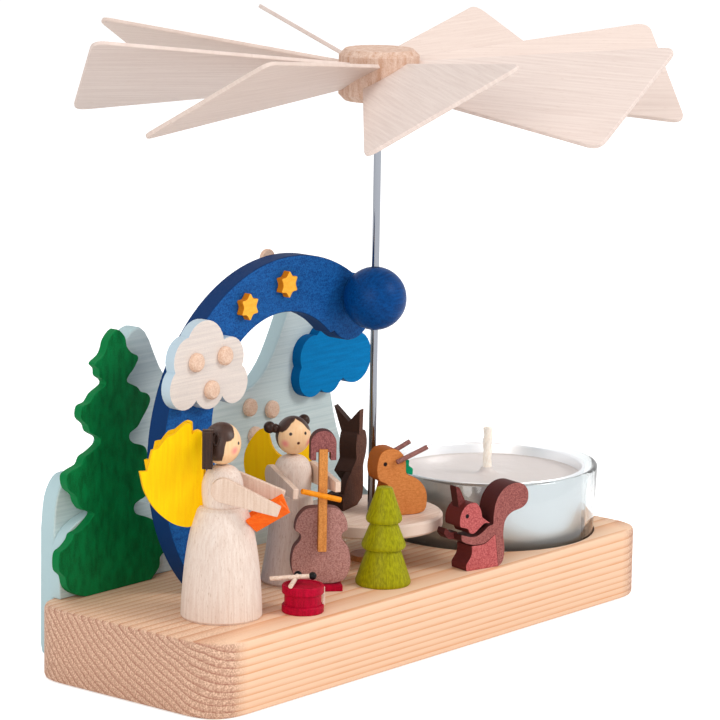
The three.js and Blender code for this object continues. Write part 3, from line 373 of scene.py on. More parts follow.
milky = add(tree, "BsdfPrincipled", {"Base Color": linear(0xD5CDC9), "Roughness": 0.4,
                                     "Subsurface Weight": 0.3, "Subsurface Radius": (1, 0.9, 0.8),
                                     "Subsurface Scale": 0.002, "Normal": bump.outputs[0]})
add(tree, "OutputMaterial", {"Surface": milky.outputs[0]})
WAX_TOP, WAX_CLIMB = 23.7, 1.5
surface = [(18.15, WAX_TOP + 0.3), (17.6, WAX_TOP + 0.05), (14, WAX_TOP), (6, WAX_TOP),
           (2.8, WAX_TOP + 0.15), (1.6, WAX_TOP + 0.7), (1.15, WAX_TOP + WAX_CLIMB)]
block = [(0, 10.45), (18, 10.45), (18.15, 11), *spline(surface), (0, WAX_TOP + WAX_CLIMB)]
fit(turned("tealight_wax", block, candle), paraffin, "tealight_wax")


def tube(shape, path, radius, sides=10):
    """Adds a round tube along a path of points in mm, closed at both ends."""
    points = [Vector(point) for point in path]
    loops = []
    for i, point in enumerate(points):
        along = (points[min(i + 1, len(points) - 1)] - points[max(i - 1, 0)]).normalized()
        across = along.orthogonal() if not loops else (side_way - along * side_way.dot(along))
        side_way = across.normalized()
        other = along.cross(side_way)
        turns = [2 * math.pi * k / sides for k in range(sides)]
        ring = (point + radius * (math.cos(a) * side_way + math.sin(a) * other) for a in turns)
        loops.append([shape.verts.new(spot * MM) for spot in ring])
    for low, high in zip(loops, loops[1:]):
        for k in range(sides):
            shape.faces.new((low[k], low[(k + 1) % sides], high[(k + 1) % sides], high[k]))
    shape.faces.new(loops[0][::-1])
    shape.faces.new(loops[-1])


cotton = wood("braided cotton in wax", 0xFFFAF0, 0xF6EADC, "Z", 0.3, 0.6, 0.3, roughness=0.7)
WICK_TOP, WICK_FOOT = 33, WAX_TOP - 3
STRAND_RADIUS, STRAND_OFFSET, STRAND_PITCH, STRAND_STEPS = 0.56, 0.34, 9, 40
shape = bmesh.new()
for strand in range(3):
    path = []
    for t in (step / STRAND_STEPS for step in range(STRAND_STEPS + 1)):
        a = strand * 2 * math.pi / 3 + 2 * math.pi * t * (WICK_TOP - WICK_FOOT) / STRAND_PITCH
        path.append((CANDLE_X + STRAND_OFFSET * math.cos(a), STRAND_OFFSET * math.sin(a),
                     WICK_FOOT + t * (WICK_TOP - WICK_FOOT)))
    tube(shape, path, STRAND_RADIUS)
fit(finished("tealight_wick", shape, 0.12, 60), cotton, "tealight_wick")

# Back row: a wide panel of limewood in thin snow-blue paint, glued behind the board, and in front
# of it a low snow hill and a fir sawn from thin board in green stain, paler on the sawn edge.
snow = wood("thin snow-blue paint on limewood", 0xD7E6E7, 0xC4D7D9, "X", 0.5, 26, 0.15, 0xB4CDD2, relief=0.4)
fit(copied("backdrop_panel", 0.5), snow, "backdrop_panel")
fit(copied("snow_hill", 0.4), snow, "snow_hill")


def slab(outline, thickness, back, move=Matrix(), shape=None):
    """Sawn board: an upright outline of x and height, its far face at depth back, in mm."""
    shape = shape or bmesh.new()
    rim = [shape.verts.new((x * MM, (back - thickness) * MM, z * MM)) for x, z in outline]
    far = [shape.verts.new((x * MM, back * MM, z * MM)) for x, z in outline]
    shape.faces.new(rim)
    shape.faces.new(far[::-1])
    for i in range(len(rim)):
        shape.faces.new((rim[i], rim[i - 1], far[i - 1], far[i]))
    bmesh.ops.transform(shape, matrix=move, verts=rim + far)
    return shape


FIR_RIGHT = [
    (11.8, 2), (12, 3.8), (13.4, 4.8), (14.3, 6.6), (12.4, 9.1), (10.2, 11), (8.2, 12), (5.6, 13),
    (4.9, 14.2), (5.6, 15.1), (8.4, 16), (9.8, 17.7), (10.6, 19.8), (9, 21.8), (8.2, 24.4), (7.2, 25.4),
    (5, 26.1), (3.7, 27.1), (3.8, 28.2), (5.7, 29), (6.9, 30.4), (8.3, 32), (9.1, 33.6), (8.3, 34.8),
    (6.6, 35.4), (5.6, 36.4), (3, 37.7), (3.4, 38.8), (4.6, 39.8), (5.9, 41.8), (4.2, 42.8), (2.8, 44.2),
    (2.3, 46)]
FIR_LEFT = [
    (-9.8, 0.7), (-12.2, 2.4), (-13, 4.6), (-14.4, 5.9), (-14.6, 7.9), (-14.2, 9.3), (-12.8, 9.9),
    (-11.3, 11), (-10.7, 12), (-8.7, 12.5), (-5.7, 14.6), (-6.4, 15.4), (-8.4, 16.1), (-9.7, 17.6),
    (-10.3, 19), (-12.2, 20.5), (-12.7, 22.8), (-11.2, 23.7), (-9, 24.3), (-8.1, 25.6), (-6.2, 26.3),
    (-4.1, 27.5), (-4.3, 28.6), (-6.6, 29.9), (-7.3, 31.3), (-9, 32.8), (-8.7, 34.8), (-6.8, 35.3),
    (-5.4, 36.7), (-2.8, 37.9), (-3, 38.8), (-4.3, 39.7), (-4.5, 41), (-5.5, 42.1), (-3.4, 43.3),
    (-2.6, 44.5), (-2, 46)]
fir_green = wood("green stain on thin board", 0x007C40, 0x005B2B, "Z", 1.1, 3, 0.35, 0x00733B)
fir_edge = spline([(9.6, 0), *FIR_RIGHT, (0.2, 47.6), *FIR_LEFT[::-1], (-7.3, 0)], 3)
FIR_THICKNESS, FIR_BACK = 1.8, 20.05
fir = slab(fir_edge, FIR_THICKNESS, FIR_BACK, at((-50.2, 0, BOARD_TOP)))
fit(finished("fir_tree", fir, 0.2, 50), fir_green, "fir_tree")

# Arch: a crescent sawn from beech in night-blue stain. The turned ball glued at its end guides
# the rod. Two amber stars stand on its face, and a dowel shows behind.
night = wood("night-blue stain on beech", 0x1A63AC, 0x0A4180, "X", 0.4, 1.5, 0.6, 0x0A3366)
fit(copied("moon_arch", 0.3), night, "moon_arch")
ball_blue = wood("night-blue stain on a turned ball", 0x04498C, 0x02336A, "X", 0.5, 5, 0.4, roughness=0.4,
                 sheen=0.08)
fit(copied("guide_ball", 0), ball_blue, "guide_ball")
dowel = wood("end grain of a maple dowel", 0xEED2BE, 0xDCB69C, "Y", 0.3, 0.6, 0.6)
fit(copied("arch_peg", 0.15), dowel, "arch_peg")
amber = wood("amber paint on a small star", 0xFFC347, 0xFBAE33, "X", 0.5, 2, 0.4, 0xD07A10)
STAR_GROWTH = 1.1
for node in ("star_1", "star_2"):
    low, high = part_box(node)
    seat = Vector(((low.x + high.x) / 2, high.y, (low.z + high.z) / 2))
    grown = Matrix.Translation(seat) @ Matrix.Scale(STAR_GROWTH, 4) @ Matrix.Translation(-seat)
    fit(copied(node, 0.15, move=grown), amber, node)

# Clouds: two lobed clouds sawn from thin board, the near one bare with a pale blue edge, the far
# one in light blue paint. Snowflakes are the ends of maple dowels.
cloud_white = wood("bare limewood cloud", 0xE8DED6, 0xDAD0CA, "X", 0.4, 12, 0.3, 0xBCD0DC)
fit(copied("white_cloud", 0.35), cloud_white, "white_cloud")
sky = wood("light blue paint on limewood", 0x0082C6, 0x0074B4, "X", 0.6, 6, 0.3, 0x005C98, sheen=0.05)
fit(copied("blue_cloud", 0.35, move=at((0.4, 0, -0.5))), sky, "blue_cloud")
for number in (1, 2, 3):
    fit(copied(f"cloud_peg_{number}", 0.15, move=at((-0.3, 0, 0))), dowel, f"cloud_peg_{number}")
    fit(copied(f"snow_peg_{number}", 0.15), dowel, f"snow_peg_{number}")

# Turned tree and drum: small turnings in lime-green and crimson stain. The drum has two
# turned rims; two pale beaters with black ball ends lie crossed on it and a pale sliver on its side.
lime = wood("lime-green stain on a turned tree", 0xA3A108, 0x828002, "Z", 0.3, 4, 0.15, roughness=0.5)
rings = [(0, 0), (4.85, 0), (5.05, 0.3), (5.05, 0.8), (3.1, 6.5), (3.8, 6.7), (4.05, 7.1), (4.05, 7.5),
         (2.5, 11.4), (3.05, 11.6), (3.3, 12), (3.3, 12.5), (1.65, 17.3), (1.5, 17.8), (1.2, 18), (0, 18.05)]
fit(turned("turned_tree", rings, at((-13.6, -14.15, BOARD_TOP))), lime, "turned_tree")
crimson = wood("crimson stain on a turned drum", 0xBE0632, 0x980424, "Z", 0.6, 3, 0.4, roughness=0.45,
               sheen=0.08)
rims = [(0, 0), (3.6, 0), (3.75, 0.2), (3.75, 1.2), (3.6, 1.4), (3.3, 1.45), (3.3, 3.35), (3.6, 3.4),
        (3.75, 3.6), (3.75, 4.75), (3.6, 4.95), (3.2, 4.95), (3.1, 4.8), (0, 4.8)]
fit(turned("drum", rims, at((-39, -16.6, BOARD_TOP))), crimson, "drum")
BEATER_BALLS = [(-37.7, -17.7, 19.8), (-37.5, -14.1, 19.35)]
pale = wood("bare maple sticks", 0xF0E0D2, 0xD9BFA8, "X", 0.4, 4, 0.3)
black = wood("black lacquer on a ball", 0x1C1A1B, 0x0D0C0D, "Z", 0.6, 3, 0.4, roughness=0.3)
STICK_RADIUS, BALL_RADIUS = 0.42, 0.72
shape = bmesh.new()
for start, end in zip([(-42.5, -11.8, 19.15), (-42.9, -17, 18.7)], BEATER_BALLS):
    tube(shape, [start, end], STICK_RADIUS, 16)
    bmesh.ops.create_uvsphere(shape, u_segments=24, v_segments=16, radius=BALL_RADIUS * MM,
                              matrix=Matrix.Translation(Vector(end) * MM))
sliver = [(-0.25, 1.3), (0.25, 1.2), (0.2, 4.5), (-0.2, 4.6)]
slab(sliver, 0.3, 0.15, at((-36.5, -19.3, BOARD_TOP), -50), shape)
beaters = fit(finished("drum_beaters", shape, 0.08, 60), pale, "drum_beaters")


def paint_where(piece, material, inside):
    """Gives the faces whose middle, in mm, lies inside a second material."""
    piece.data.materials.append(material)
    for face in piece.data.polygons:
        if inside(face.center / MM):
            face.material_index = len(piece.data.materials) - 1


def on_ball(middle):
    return min((middle - Vector(ball)).length for ball in BEATER_BALLS) < BALL_RADIUS + 0.08


paint_where(beaters, black, on_ball)


# Angels: turned bodies and heads, thin flat arms and wings glued on. The first looks into an
# orange songbook and wears a ponytail; hair and features are painted on the varnished head.
def rounded(points, steps=4):
    """An outline whose corners [x, height, radius] are rounded."""
    outline = []
    for i, (x, z, *rest) in enumerate(points):
        corner, before = Vector((x, z)), Vector(points[i - 1][:2])
        after = Vector(points[(i + 1) % len(points)][:2])
        if not rest:
            outline.append(tuple(corner))
            continue
        start, end = (corner + (other - corner).normalized() * min(rest[0], (other - corner).length / 2)
                      for other in (before, after))
        for t in (k / steps for k in range(steps + 1)):
            outline.append(tuple(start.lerp(corner, t).lerp(corner.lerp(end, t), t)))
    return outline


maple = wood("bare turned maple", 0xE9DACF, 0xDDC9BC, "Z", 0.35, 12, 0.2, dash=0xBCA08C)
arm_wood = wood("bare limewood arm", 0xE6CFBE, 0xD8BCA7, "Z", 0.4, 6, 0.3, relief=0.2)
yellow = wood("yellow paint on thin plywood", 0xFFD000, 0xFBC400, "Z", 0.5, 6, 0.2, 0xF2B800, (0.55, 0.83, 0))
hair = wood("dark brown lacquer", 0x40281D, 0x241410, "Z", 0.3, 4, 0.3, roughness=0.35, sheen=0.2)
HAIR_LINE = ((0, 0.94), (0.067, 0.9), (0.156, 0.835), (0.244, 0.67), (0.322, 0.61), (0.4, 0.6),
             (0.425, 0.48), (0.44, 0.28), (0.47, 0.12), (1, 0.08))
HEAD_STRETCH = 1.1


def painted_head(name, centre, turn, radius, features):
    """Varnished turned wood with painted hair, for a head that faces turn degrees. The features are
    the places of eyes, cheeks and mouth in degrees from the nose."""
    material, tree = new_material(name)
    where = add(tree, "TexCoord")
    middle = add(tree, "VectorMath", {0: where.outputs["Object"], 1: Vector(centre) * MM},
                 operation="SUBTRACT")
    faced = add(tree, "VectorRotate", {"Vector": middle.outputs[0], "Angle": -math.radians(turn)},
                rotation_type="Z_AXIS")
    part = add(tree, "SeparateXYZ", {0: faced.outputs[0]})
    forward = add(tree, "Math", {0: part.outputs[1], 1: -1}, operation="MULTIPLY")
    azimuth = add(tree, "Math", {0: part.outputs[0], 1: forward.outputs[0]}, operation="ARCTAN2")
    aside = add(tree, "Math", {0: azimuth.outputs[0]}, operation="ABSOLUTE")
    share = add(tree, "Math", {0: aside.outputs[0], 1: math.pi}, operation="DIVIDE")
    half_height = radius * HEAD_STRETCH * MM
    level = remap(tree, part.outputs[2], -half_height, half_height)
    strands = noise(tree, middle.outputs[0], 1500, 2)
    hair_edge = ramp(tree, share.outputs[0], HAIR_LINE)
    ragged = add(tree, "Math", {0: strands, 1: 0.03, 2: hair_edge}, operation="MULTIPLY_ADD")
    above = add(tree, "Math", {0: level, 1: ragged.outputs[0]}, operation="SUBTRACT")
    hairy = remap(tree, above.outputs[0], 0, 0.025)
    grain = noise(tree, middle.outputs[0], (2500, 2500, 220), 2)
    wooden = blend(tree, grain, 0xEEBD8A, 0xF9D4A8)

    def spot(degrees, elevation):
        a, e = math.radians(degrees), math.radians(elevation)
        return (radius * math.sin(a) * math.cos(e), -radius * math.cos(a) * math.cos(e),
                radius * HEAD_STRETCH * math.sin(e))

    eye, cheek, mouth = features
    paints = [(spot(side * cheek[0], cheek[1]), 0.62, 0xEE9488, 0.6) for side in (-1, 1)]
    paints += [(spot(side * eye[0], eye[1]), 0.3, 0x2E1E18, 0.15) for side in (-1, 1)]
    paints.append((spot(*mouth), 0.28, 0x4A211A, 0.15))
    skin = dotted(tree, faced.outputs[0], wooden, paints)
    colour = blend(tree, hairy, skin, blend(tree, grain, 0x2B1B16, 0x50362C))
    surface = add(tree, "BsdfPrincipled", {"Base Color": colour, "Roughness": 0.38,
                                           "Specular IOR Level": 0.3})
    add(tree, "OutputMaterial", {"Surface": surface.outputs[0]})
    return material


def body(name, skirt, waist, chest, place):
    """A skirt and a chest turned in one, given as two profiles with a step at the waist."""
    profile = [(0, 0), (skirt[0][0] - 0.3, 0), *spline(skirt), waist, *spline(chest)]
    fit(turned(name, profile, place, sharp=25), maple, name)


def head(name, place, centre, radius, turn, features, buns=()):
    """An egg-shaped head, with any knots of hair as places in head radii and a radius in mm."""
    shape = bmesh.new()
    egg = Matrix.Translation(Vector(centre) * MM) @ Matrix.Diagonal((1, 1, HEAD_STRETCH, 1))
    bmesh.ops.create_uvsphere(shape, u_segments=64, v_segments=40, radius=radius * MM, matrix=place @ egg)
    world_centre = (place @ (Vector(centre) * MM)) / MM
    for *bun, size in buns:
        knot = Matrix.Translation((Vector(centre) + Vector(bun) * radius) * MM)
        bmesh.ops.create_uvsphere(shape, u_segments=32, v_segments=20, radius=size * MM, matrix=place @ knot)
    piece = finished(name, shape, 0)
    fit(piece, painted_head(name + " varnish", world_centre, turn, radius, features), name)
    paint_where(piece, hair, lambda middle: (middle - world_centre).length > radius * HEAD_STRETCH * 1.01)


def wings(name, place, outline, behind, bottom, spread):
    """Two thin wings glued behind the chest, in a V that spreads by degrees to either side."""
    thickness = 0.9
    shape = bmesh.new()
    for side in (-1, 1):
        seat = place @ at((0, behind, bottom), 90 + side * spread)
        slab(rounded(outline), thickness, thickness / 2, seat, shape)
    fit(finished(name, shape, 0.1), yellow, name)


def arm(name, place, side, chest, forward, shoulder_height, shoulder, hand, length, down):
    """A flat arm beside the chest: side is -1 or 1, and the hand points forwards and down."""
    thickness, glue = 1.1, 0.15
    arc = [math.radians(90 + 180 * k / 16) for k in range(17)]
    outline = [(shoulder * math.cos(a), shoulder * math.sin(a)) for a in arc]
    outline += [(length, -hand / 2), (length, hand / 2)]
    seat = at((side * (chest + glue + thickness / 2), -forward, shoulder_height), -90)
    move = place @ seat @ Matrix.Rotation(math.radians(down), 4, "Y")
    fit(finished(name, slab(outline, thickness, thickness / 2, move), 0.15, 30), arm_wood, name)


def turned_about(place, degrees, shift=(0, 0, 0)):
    """Turns a copied piece a little about a figure's own axis and moves it in the figure's frame."""
    return place @ at(shift, degrees) @ place.inverted()


FIRST_PLACE, FIRST_TURN = (-51.1, -8.1, BOARD_TOP), 37
first = at(FIRST_PLACE, FIRST_TURN)
body("angel_1_body", [(7.2, 0.4), (7.05, 4), (6.55, 9.75), (5.62, 15.5), (4.4, 19.4)], (3.9, 19.9),
     [(3.43, 19.95), (3.65, 22.4), (3.54, 24.4), (2.74, 26.2), (1.46, 27.05), (0, 27.15)], first)
head("angel_1_head", first, (0, 0.2, 31), 3.4, FIRST_TURN, ((26, 6), (42, -12), (0, -15)))
arm("angel_1_arm_right", first, -1, 3.65, 0.5, 23.6, 2.2, 1.9, 10.4, 20)
arm("angel_1_arm_left", first, 1, 3.65, 0.5, 23.6, 2.2, 1.9, 10.4, 15)
PONYTAIL_WIDTH, PONYTAIL_REACH = 1.8, 3.45
ponytail = [(-PONYTAIL_WIDTH / 2, -PONYTAIL_REACH, 0.3), (PONYTAIL_WIDTH / 2, -PONYTAIL_REACH, 0.3),
            (PONYTAIL_WIDTH / 2, PONYTAIL_REACH, 0.5), (-PONYTAIL_WIDTH / 2, PONYTAIL_REACH, 0.5)]
shape = slab(rounded(ponytail), PONYTAIL_WIDTH, PONYTAIL_WIDTH / 2, first @ at((-4.4, 2.3, 30.85)))
tie = [(-3.4, 1.0 + 0.45 * math.cos(a), 32.4 + math.sin(a)) for a in (k * math.pi / 12 for k in range(25))]
tied = bmesh.new()
tube(tied, tie, 0.3, 12)
bmesh.ops.transform(tied, matrix=first, verts=tied.verts)
loop = bpy.data.meshes.new("hair_tie")
tied.to_mesh(loop)
tied.free()
shape.from_mesh(loop)
fit(finished("angel_1_ponytail", shape, 0.2, 50), hair, "angel_1_ponytail")
FEATHERED_WING = [
    (-0.7, 3.6), (0.1, 1.7, 0.5), (2.1, 0.1, 1), (5.1, 0.8, 1.5), (7.8, 2.9, 1.5), (9.6, 5.1, 1.5),
    (10.8, 7.6, 1), (11.5, 10.8), (10.2, 10.8, 0.1), (9.7, 12.7, 0.5), (9.3, 14.4), (8.1, 14.7, 0.3),
    (7.2, 15.9, 0.4), (6.5, 16.6, 0.2), (5.3, 17, 0.3), (3.9, 18.2, 0.4), (3.1, 18.8, 0.3),
    (2.1, 18.6, 0.3), (2, 16.8, 0.1), (1.2, 17.4, 0.4), (0.2, 17.1, 0.5), (-0.5, 16.3, 0.4), (-0.7, 15)]
book_orange = wood("orange paint on a V-shaped book", 0xFF7A24, 0xF8600E, "X", 0.6, 3, 0.3, roughness=0.5)
wings("angel_1_wings", first, FEATHERED_WING, 3.75, 15.9, 26)
# The CAD's songbook stands at 27.6 degrees and turns on with the angel
book_move = turned_about(at(FIRST_PLACE, 27.6), 9.4, (0, 0.3, 0))
fit(copied("songbook", 0.1, move=book_move), book_orange, "songbook")

# The second angel bows an upright bass: a sanded board in mauve stain with a honey-coloured neck,
# a brown scroll and a red foot. Two buns of hair stand on the head.
SECOND_TURN = -25.6
second = at((-23.5, -0.6, BOARD_TOP), SECOND_TURN)
body("angel_2_body", [(5.6, 0.4), (5.3, 2.4), (4.87, 5), (4.31, 9.4), (3.86, 13.8), (3.8, 16.3)], (3.3, 16.8),
     [(3.35, 16.85), (3.5, 19.1), (3.4, 20.95), (2.7, 22.6), (1.46, 23.4), (0, 23.5)], second)
head("angel_2_head", second, (0, 0, 27.15), 3.2, -30.6, ((27, 13), (47, -18), (0, -15)),
     [(-1.33, 0.3, 0.48, 1.1), (-1.02, 0.22, 0.42, 0.85), (0.83, 0.38, 0.72, 1.1), (0.66, 0.3, 0.6, 0.85)])
arm("angel_2_arm_right", second, -1, 3.45, 0, 20, 1.95, 1.9, 11, 6.5)
arm("angel_2_arm_left", second, 1, 3.45, 0, 20, 1.95, 1.9, 11, 3)
ROUND_WING = [
    (0, 2.1, 0.8), (1.6, 0, 1.6), (5.5, 1.4, 2.4), (7.9, 5.9, 2.4), (7.7, 10.2, 2.4), (4.9, 14.1, 1.6),
    (3.3, 13.8, 0.8), (2.4, 10.2, 2.4), (0, 8.7, 0.8)]
wings("angel_2_wings", second @ at(turn=-5), ROUND_WING, 4.2, 13.2, 55)


def back_of(turn):
    """The way that the back of a sawn board looks when the board is turned by degrees."""
    return (-math.sin(math.radians(turn)), math.cos(math.radians(turn)), 0)


BASS_TURN, BASS_THICKNESS, BASS_BACK = -17, 2.4, -6
bass_back = back_of(SECOND_TURN + BASS_TURN)
bass_move = turned_about(second @ at((2, -7.2, 0)), BASS_TURN, (0.4, -0.2, 0))
mauve = wood("mauve stain on a sanded board", 0xBB8E87, 0x966961, "Z", 0.35, 0.8, 0.75, 0x7A524C, bass_back)
BASS_RIGHT = [(1.9, 0), (4, 0.5), (5.1, 2.1), (5.4, 4.3), (5, 6.6), (4.1, 7.8)]
BASS_WAIST = [(4.1, 7.8), (3.75, 8.5), (3.9, 9.3), (4.8, 9.9)]
BASS_SHOULDER = [(4.8, 9.9), (4.7, 11.2), (4.1, 12.7), (2.6, 14), (0, 14.2)]
half = [*spline(BASS_RIGHT), *spline(BASS_WAIST)[1:], *spline(BASS_SHOULDER)[1:]]
bass = bass_move @ second @ at((2, 0, 1.2))
outline = [*half, *[(-x, z) for x, z in half[-2::-1]]]
fit(finished("bass_body", slab(outline, BASS_THICKNESS, BASS_BACK, bass), 0.2, 30), mauve, "bass_body")
fit(copied("bass_foot", 0.12, move=bass_move), crimson, "bass_foot")
honey = wood("honey stain on a straight stick", 0xE09A52, 0xC07A3C, "Z", 0.4, 2.5, 0.5, 0xB06E38, bass_back)
scroll_brown = wood("brown stain on the scroll", 0xA06462, 0x774444, "Z", 0.4, 1, 0.6, 0x4A2422, bass_back)
NECK_FOOT, NECK_TOP, NECK_HALF, NECK_BACK, NECK_THICKNESS = 6.3, 25.2, 0.79, -8.55, 1.5
SCROLL_HALF, SCROLL_FOOT, SCROLL_MIDDLE, SLOT_HALF, SLOT_TOP = 2.35, 23.1, 26.2, 1.3, 24.6
stick = [(-NECK_HALF, NECK_FOOT), (NECK_HALF, NECK_FOOT), (NECK_HALF, NECK_TOP), (-NECK_HALF, NECK_TOP)]
arch = [(SCROLL_HALF * math.cos(k * math.pi / 16), SCROLL_MIDDLE + SCROLL_HALF * math.sin(k * math.pi / 16))
        for k in range(17)]
scroll = [(SCROLL_HALF, SCROLL_FOOT), *arch, (-SCROLL_HALF, SCROLL_FOOT), (-SLOT_HALF, SCROLL_FOOT),
          (-SLOT_HALF, SLOT_TOP), (SLOT_HALF, SLOT_TOP), (SLOT_HALF, SCROLL_FOOT)]
shape = slab(stick, NECK_THICKNESS, NECK_BACK, bass)
slab(scroll, BASS_THICKNESS, NECK_BACK + BASS_THICKNESS / 2, bass, shape)
neck = fit(finished("bass_neck", shape, 0.1), honey, "bass_neck")


def on_scroll(middle):
    x, y, z = (bass.inverted() @ (middle * MM)) / MM
    beside = abs(x) > NECK_HALF + 0.05 or y > NECK_BACK + 0.05 or z > NECK_TOP + 0.1
    return z > SCROLL_FOOT - 0.2 and beside


paint_where(neck, scroll_brown, on_scroll)
bow_orange = wood("orange lacquer on the bow", 0xF59A1C, 0xE08208, "X", 0.6, 3, 0.3, roughness=0.4)
shape = bmesh.new()
tube(shape, [(-3.1, -11.1, 19.3), (4.6, -11.1, 17.1)], 0.5, 20)
bmesh.ops.transform(shape, matrix=second, verts=shape.verts)
fit(finished("bass_bow", shape, 0.1), bow_orange, "bass_bow")

# Squirrel: three pieces sawn to fit each other from 4.5 mm board, head and body in red stain and
# the tail, with the far arm, in a browner one. Sawn edges take more stain and look dark. The ear
# and the far hand get a darker copy of the stain as painted shade.
SQUIRREL_TURN, SQUIRREL_THICKNESS = -14, 4.5
squirrel = at((4.2, -20, BOARD_TOP), SQUIRREL_TURN)
squirrel_back = back_of(SQUIRREL_TURN)
SQUIRREL_HEAD = [
    (-2.2, 8.6, 0.6), (-2.2, 11, 1.2), (-0.6, 12.9, 1.2), (1.8, 12.9, 1), (2.9, 11, 0.8), (3, 9.9, 0.4),
    (5, 8.5), (3.6, 8.7, 0.4), (2.4, 7.8, 0.4), (1.2, 6.9, 0.6), (0.2, 7.1, 0.4), (-0.3, 8.1, 0.3)]
SQUIRREL_EAR = [(-1.3, 11.6), (-2.2, 16.1, 0.3), (-1.3, 15.8, 0.3), (0.5, 12.4)]
SQUIRREL_BODY = [
    (-0.4, 0, 0.2), (-0.6, 1.2, 0.5), (0.5, 2.5, 0.5), (0.8, 3.4, 0.3), (0.7, 4.7, 0.2), (3, 4.62, 0.8),
    (4.2, 4.88, 0.6), (6.28, 6.3), (7.08, 0)]
SQUIRREL_TAIL = [
    (7.1, 0, 0.2), (8.2, 0.8, 0.8), (8.5, 2.6, 1), (8.4, 4.2, 1.2), (8, 6, 1.5), (8.4, 8.8, 1.2),
    (10, 10.1, 1), (12.6, 10.5, 1), (13.9, 11.6, 0.8), (13.9, 13.8, 1), (12.6, 15.2, 1), (10.4, 15.6, 1.5),
    (8, 14.9, 1.5), (6.2, 12.7, 1.2), (5.7, 10, 1), (5.7, 8.2, 0.3), (4.6, 8, 0.5), (3.2, 7, 0.6),
    (2, 6.4, 0.5), (0.4, 6.4, 0.6), (-1.8, 7.1, 0.2), (-1.7, 6, 0.3), (-0.6, 5.3, 0.5), (1.1, 4.85, 0.6),
    (3, 4.75, 0.8), (4.1, 4.95, 0.6), (6.3, 6.35, 0.1)]
SQUIRREL_HAND = [(-1, 5.7), (-1, 7.2), (-2.6, 7.2, 0.5), (-3.7, 8.3, 0.4), (-4.1, 7.2, 0.4), (-3, 6, 0.6)]
eye = (squirrel @ (Vector((-0.5, 0, 10.5)) * MM)) / MM
squirrel_red = wood("red stain on the squirrel", 0xC66A68, 0xA04648, "X", 0.4, 1, 0.75, 0x5A2220,
                    squirrel_back, dots=[(eye, 0.42, 0x1A1012, 0.15)])
squirrel_brown = wood("red-brown stain on the squirrel's tail", 0xA86660, 0x7C4240, "X", 0.4, 1, 0.75,
                      0x4C201E, squirrel_back)
# Painted shade: a darker copy of the stain for the ear and the far hand, which lie in shade.
squirrel_painted_shade = wood("painted shade on the squirrel's ear and hand", 0x7A3A38, 0x542523, "X", 0.4, 1, 0.75,
                     0x3E1817, squirrel_back)
shape = slab(rounded(SQUIRREL_BODY), SQUIRREL_THICKNESS, SQUIRREL_THICKNESS, squirrel)
fit(finished("squirrel_body", shape, 0.07), squirrel_red, "squirrel_body")
shape = slab(rounded(SQUIRREL_HEAD), SQUIRREL_THICKNESS, SQUIRREL_THICKNESS, squirrel)
slab(rounded(SQUIRREL_EAR), 1.9, 3.4, squirrel, shape)
squirrel_head = fit(finished("squirrel_head", shape, 0.12), squirrel_red, "squirrel_head")
# The ear gets the painted shade.
paint_where(squirrel_head, squirrel_painted_shade, lambda middle: middle.z > BOARD_TOP + 13)
shape = slab(rounded(SQUIRREL_TAIL), SQUIRREL_THICKNESS, SQUIRREL_THICKNESS, squirrel)
slab(rounded(SQUIRREL_HAND), 2.2, SQUIRREL_THICKNESS, squirrel, shape)
squirrel_tail = fit(finished("squirrel_tail", shape, 0.07), squirrel_brown, "squirrel_tail")
# The far hand gets the painted shade.
paint_where(squirrel_tail, squirrel_painted_shade, lambda middle: (squirrel.inverted() @ (middle * MM)).x < -1.2 * MM)

# Rabbits on the turntable: one sits, sawn in orange-brown stain with dowel ears and a green
# scarf between them, and one stands upright in dark brown.
SITTING_TURN, SITTING_THICKNESS = -24.7, 4.4
sitting = at((-4.6, -4.7, TABLE_TOP), SITTING_TURN)
SITTING_RABBIT = [
    (2.2, 0, 0.4), (1.7, 3, 1.5), (2.6, 6, 0.4), (0.5, 7.1, 0.8), (0.1, 9.5, 1.5), (1, 12.7, 2),
    (4.2, 13, 2), (6.3, 11.1, 1.5), (6.3, 7.8, 0.8), (9, 6.75, 1.5), (11, 4.1, 2.5), (10.6, 0.4, 1.2),
    (8.6, 0, 0.5)]
SCARF = [
    (6.4, 8.3), (6.4, 10.4, 0.3), (7.5, 10.2, 0.3), (7.4, 9.1, 0.2), (8.3, 8.5, 0.3), (8.2, 7.3, 0.2),
    (7.1, 7.6)]
eye = (sitting @ (Vector((1.95, 0, 10.05)) * MM)) / MM
rabbit_orange = wood("orange-brown stain on the sitting rabbit", 0xD88A4C, 0xC4763C, "X", 0.3, 2, 0.35,
                     0xA85C22, back_of(SITTING_TURN), dots=[(eye, 0.4, 0x1C1210, 0.15)])
shape = slab(rounded(SITTING_RABBIT), SITTING_THICKNESS, SITTING_THICKNESS, sitting)
fit(finished("orange_rabbit", shape, 0.25), rabbit_orange, "orange_rabbit")
scarf_green = wood("bright green paint on the scarf", 0x0CA071, 0x048A5E, "X", 0.5, 3, 0.3)
EAR_RADIUS, EAR_LENGTH = 0.45, 6.7
ear_mauve = wood("mauve stain on a dowel", 0xA0706A, 0x784E4A, "X", 0.35, 1, 0.6)
ears = (("rabbit_ear_left", (4, 10.4), -0.6, 21), ("rabbit_ear_right", (3.4, 9.9), 5, 26))
for node, (x, z), depth, rise in ears:
    rise = math.radians(rise)
    ends = [(x + reach * math.cos(rise), depth, z + reach * math.sin(rise)) for reach in (0, EAR_LENGTH)]
    shape = bmesh.new()
    tube(shape, ends, EAR_RADIUS, 20)
    bmesh.ops.transform(shape, matrix=sitting, verts=shape.verts)
    fit(finished(node, shape, 0.1), ear_mauve, node)
fit(finished("rabbit_scarf", slab(rounded(SCARF), 2.2, 3.3, sitting), 0.1), scarf_green, "rabbit_scarf")
upright_back = (-0.252, 0.968, 0)
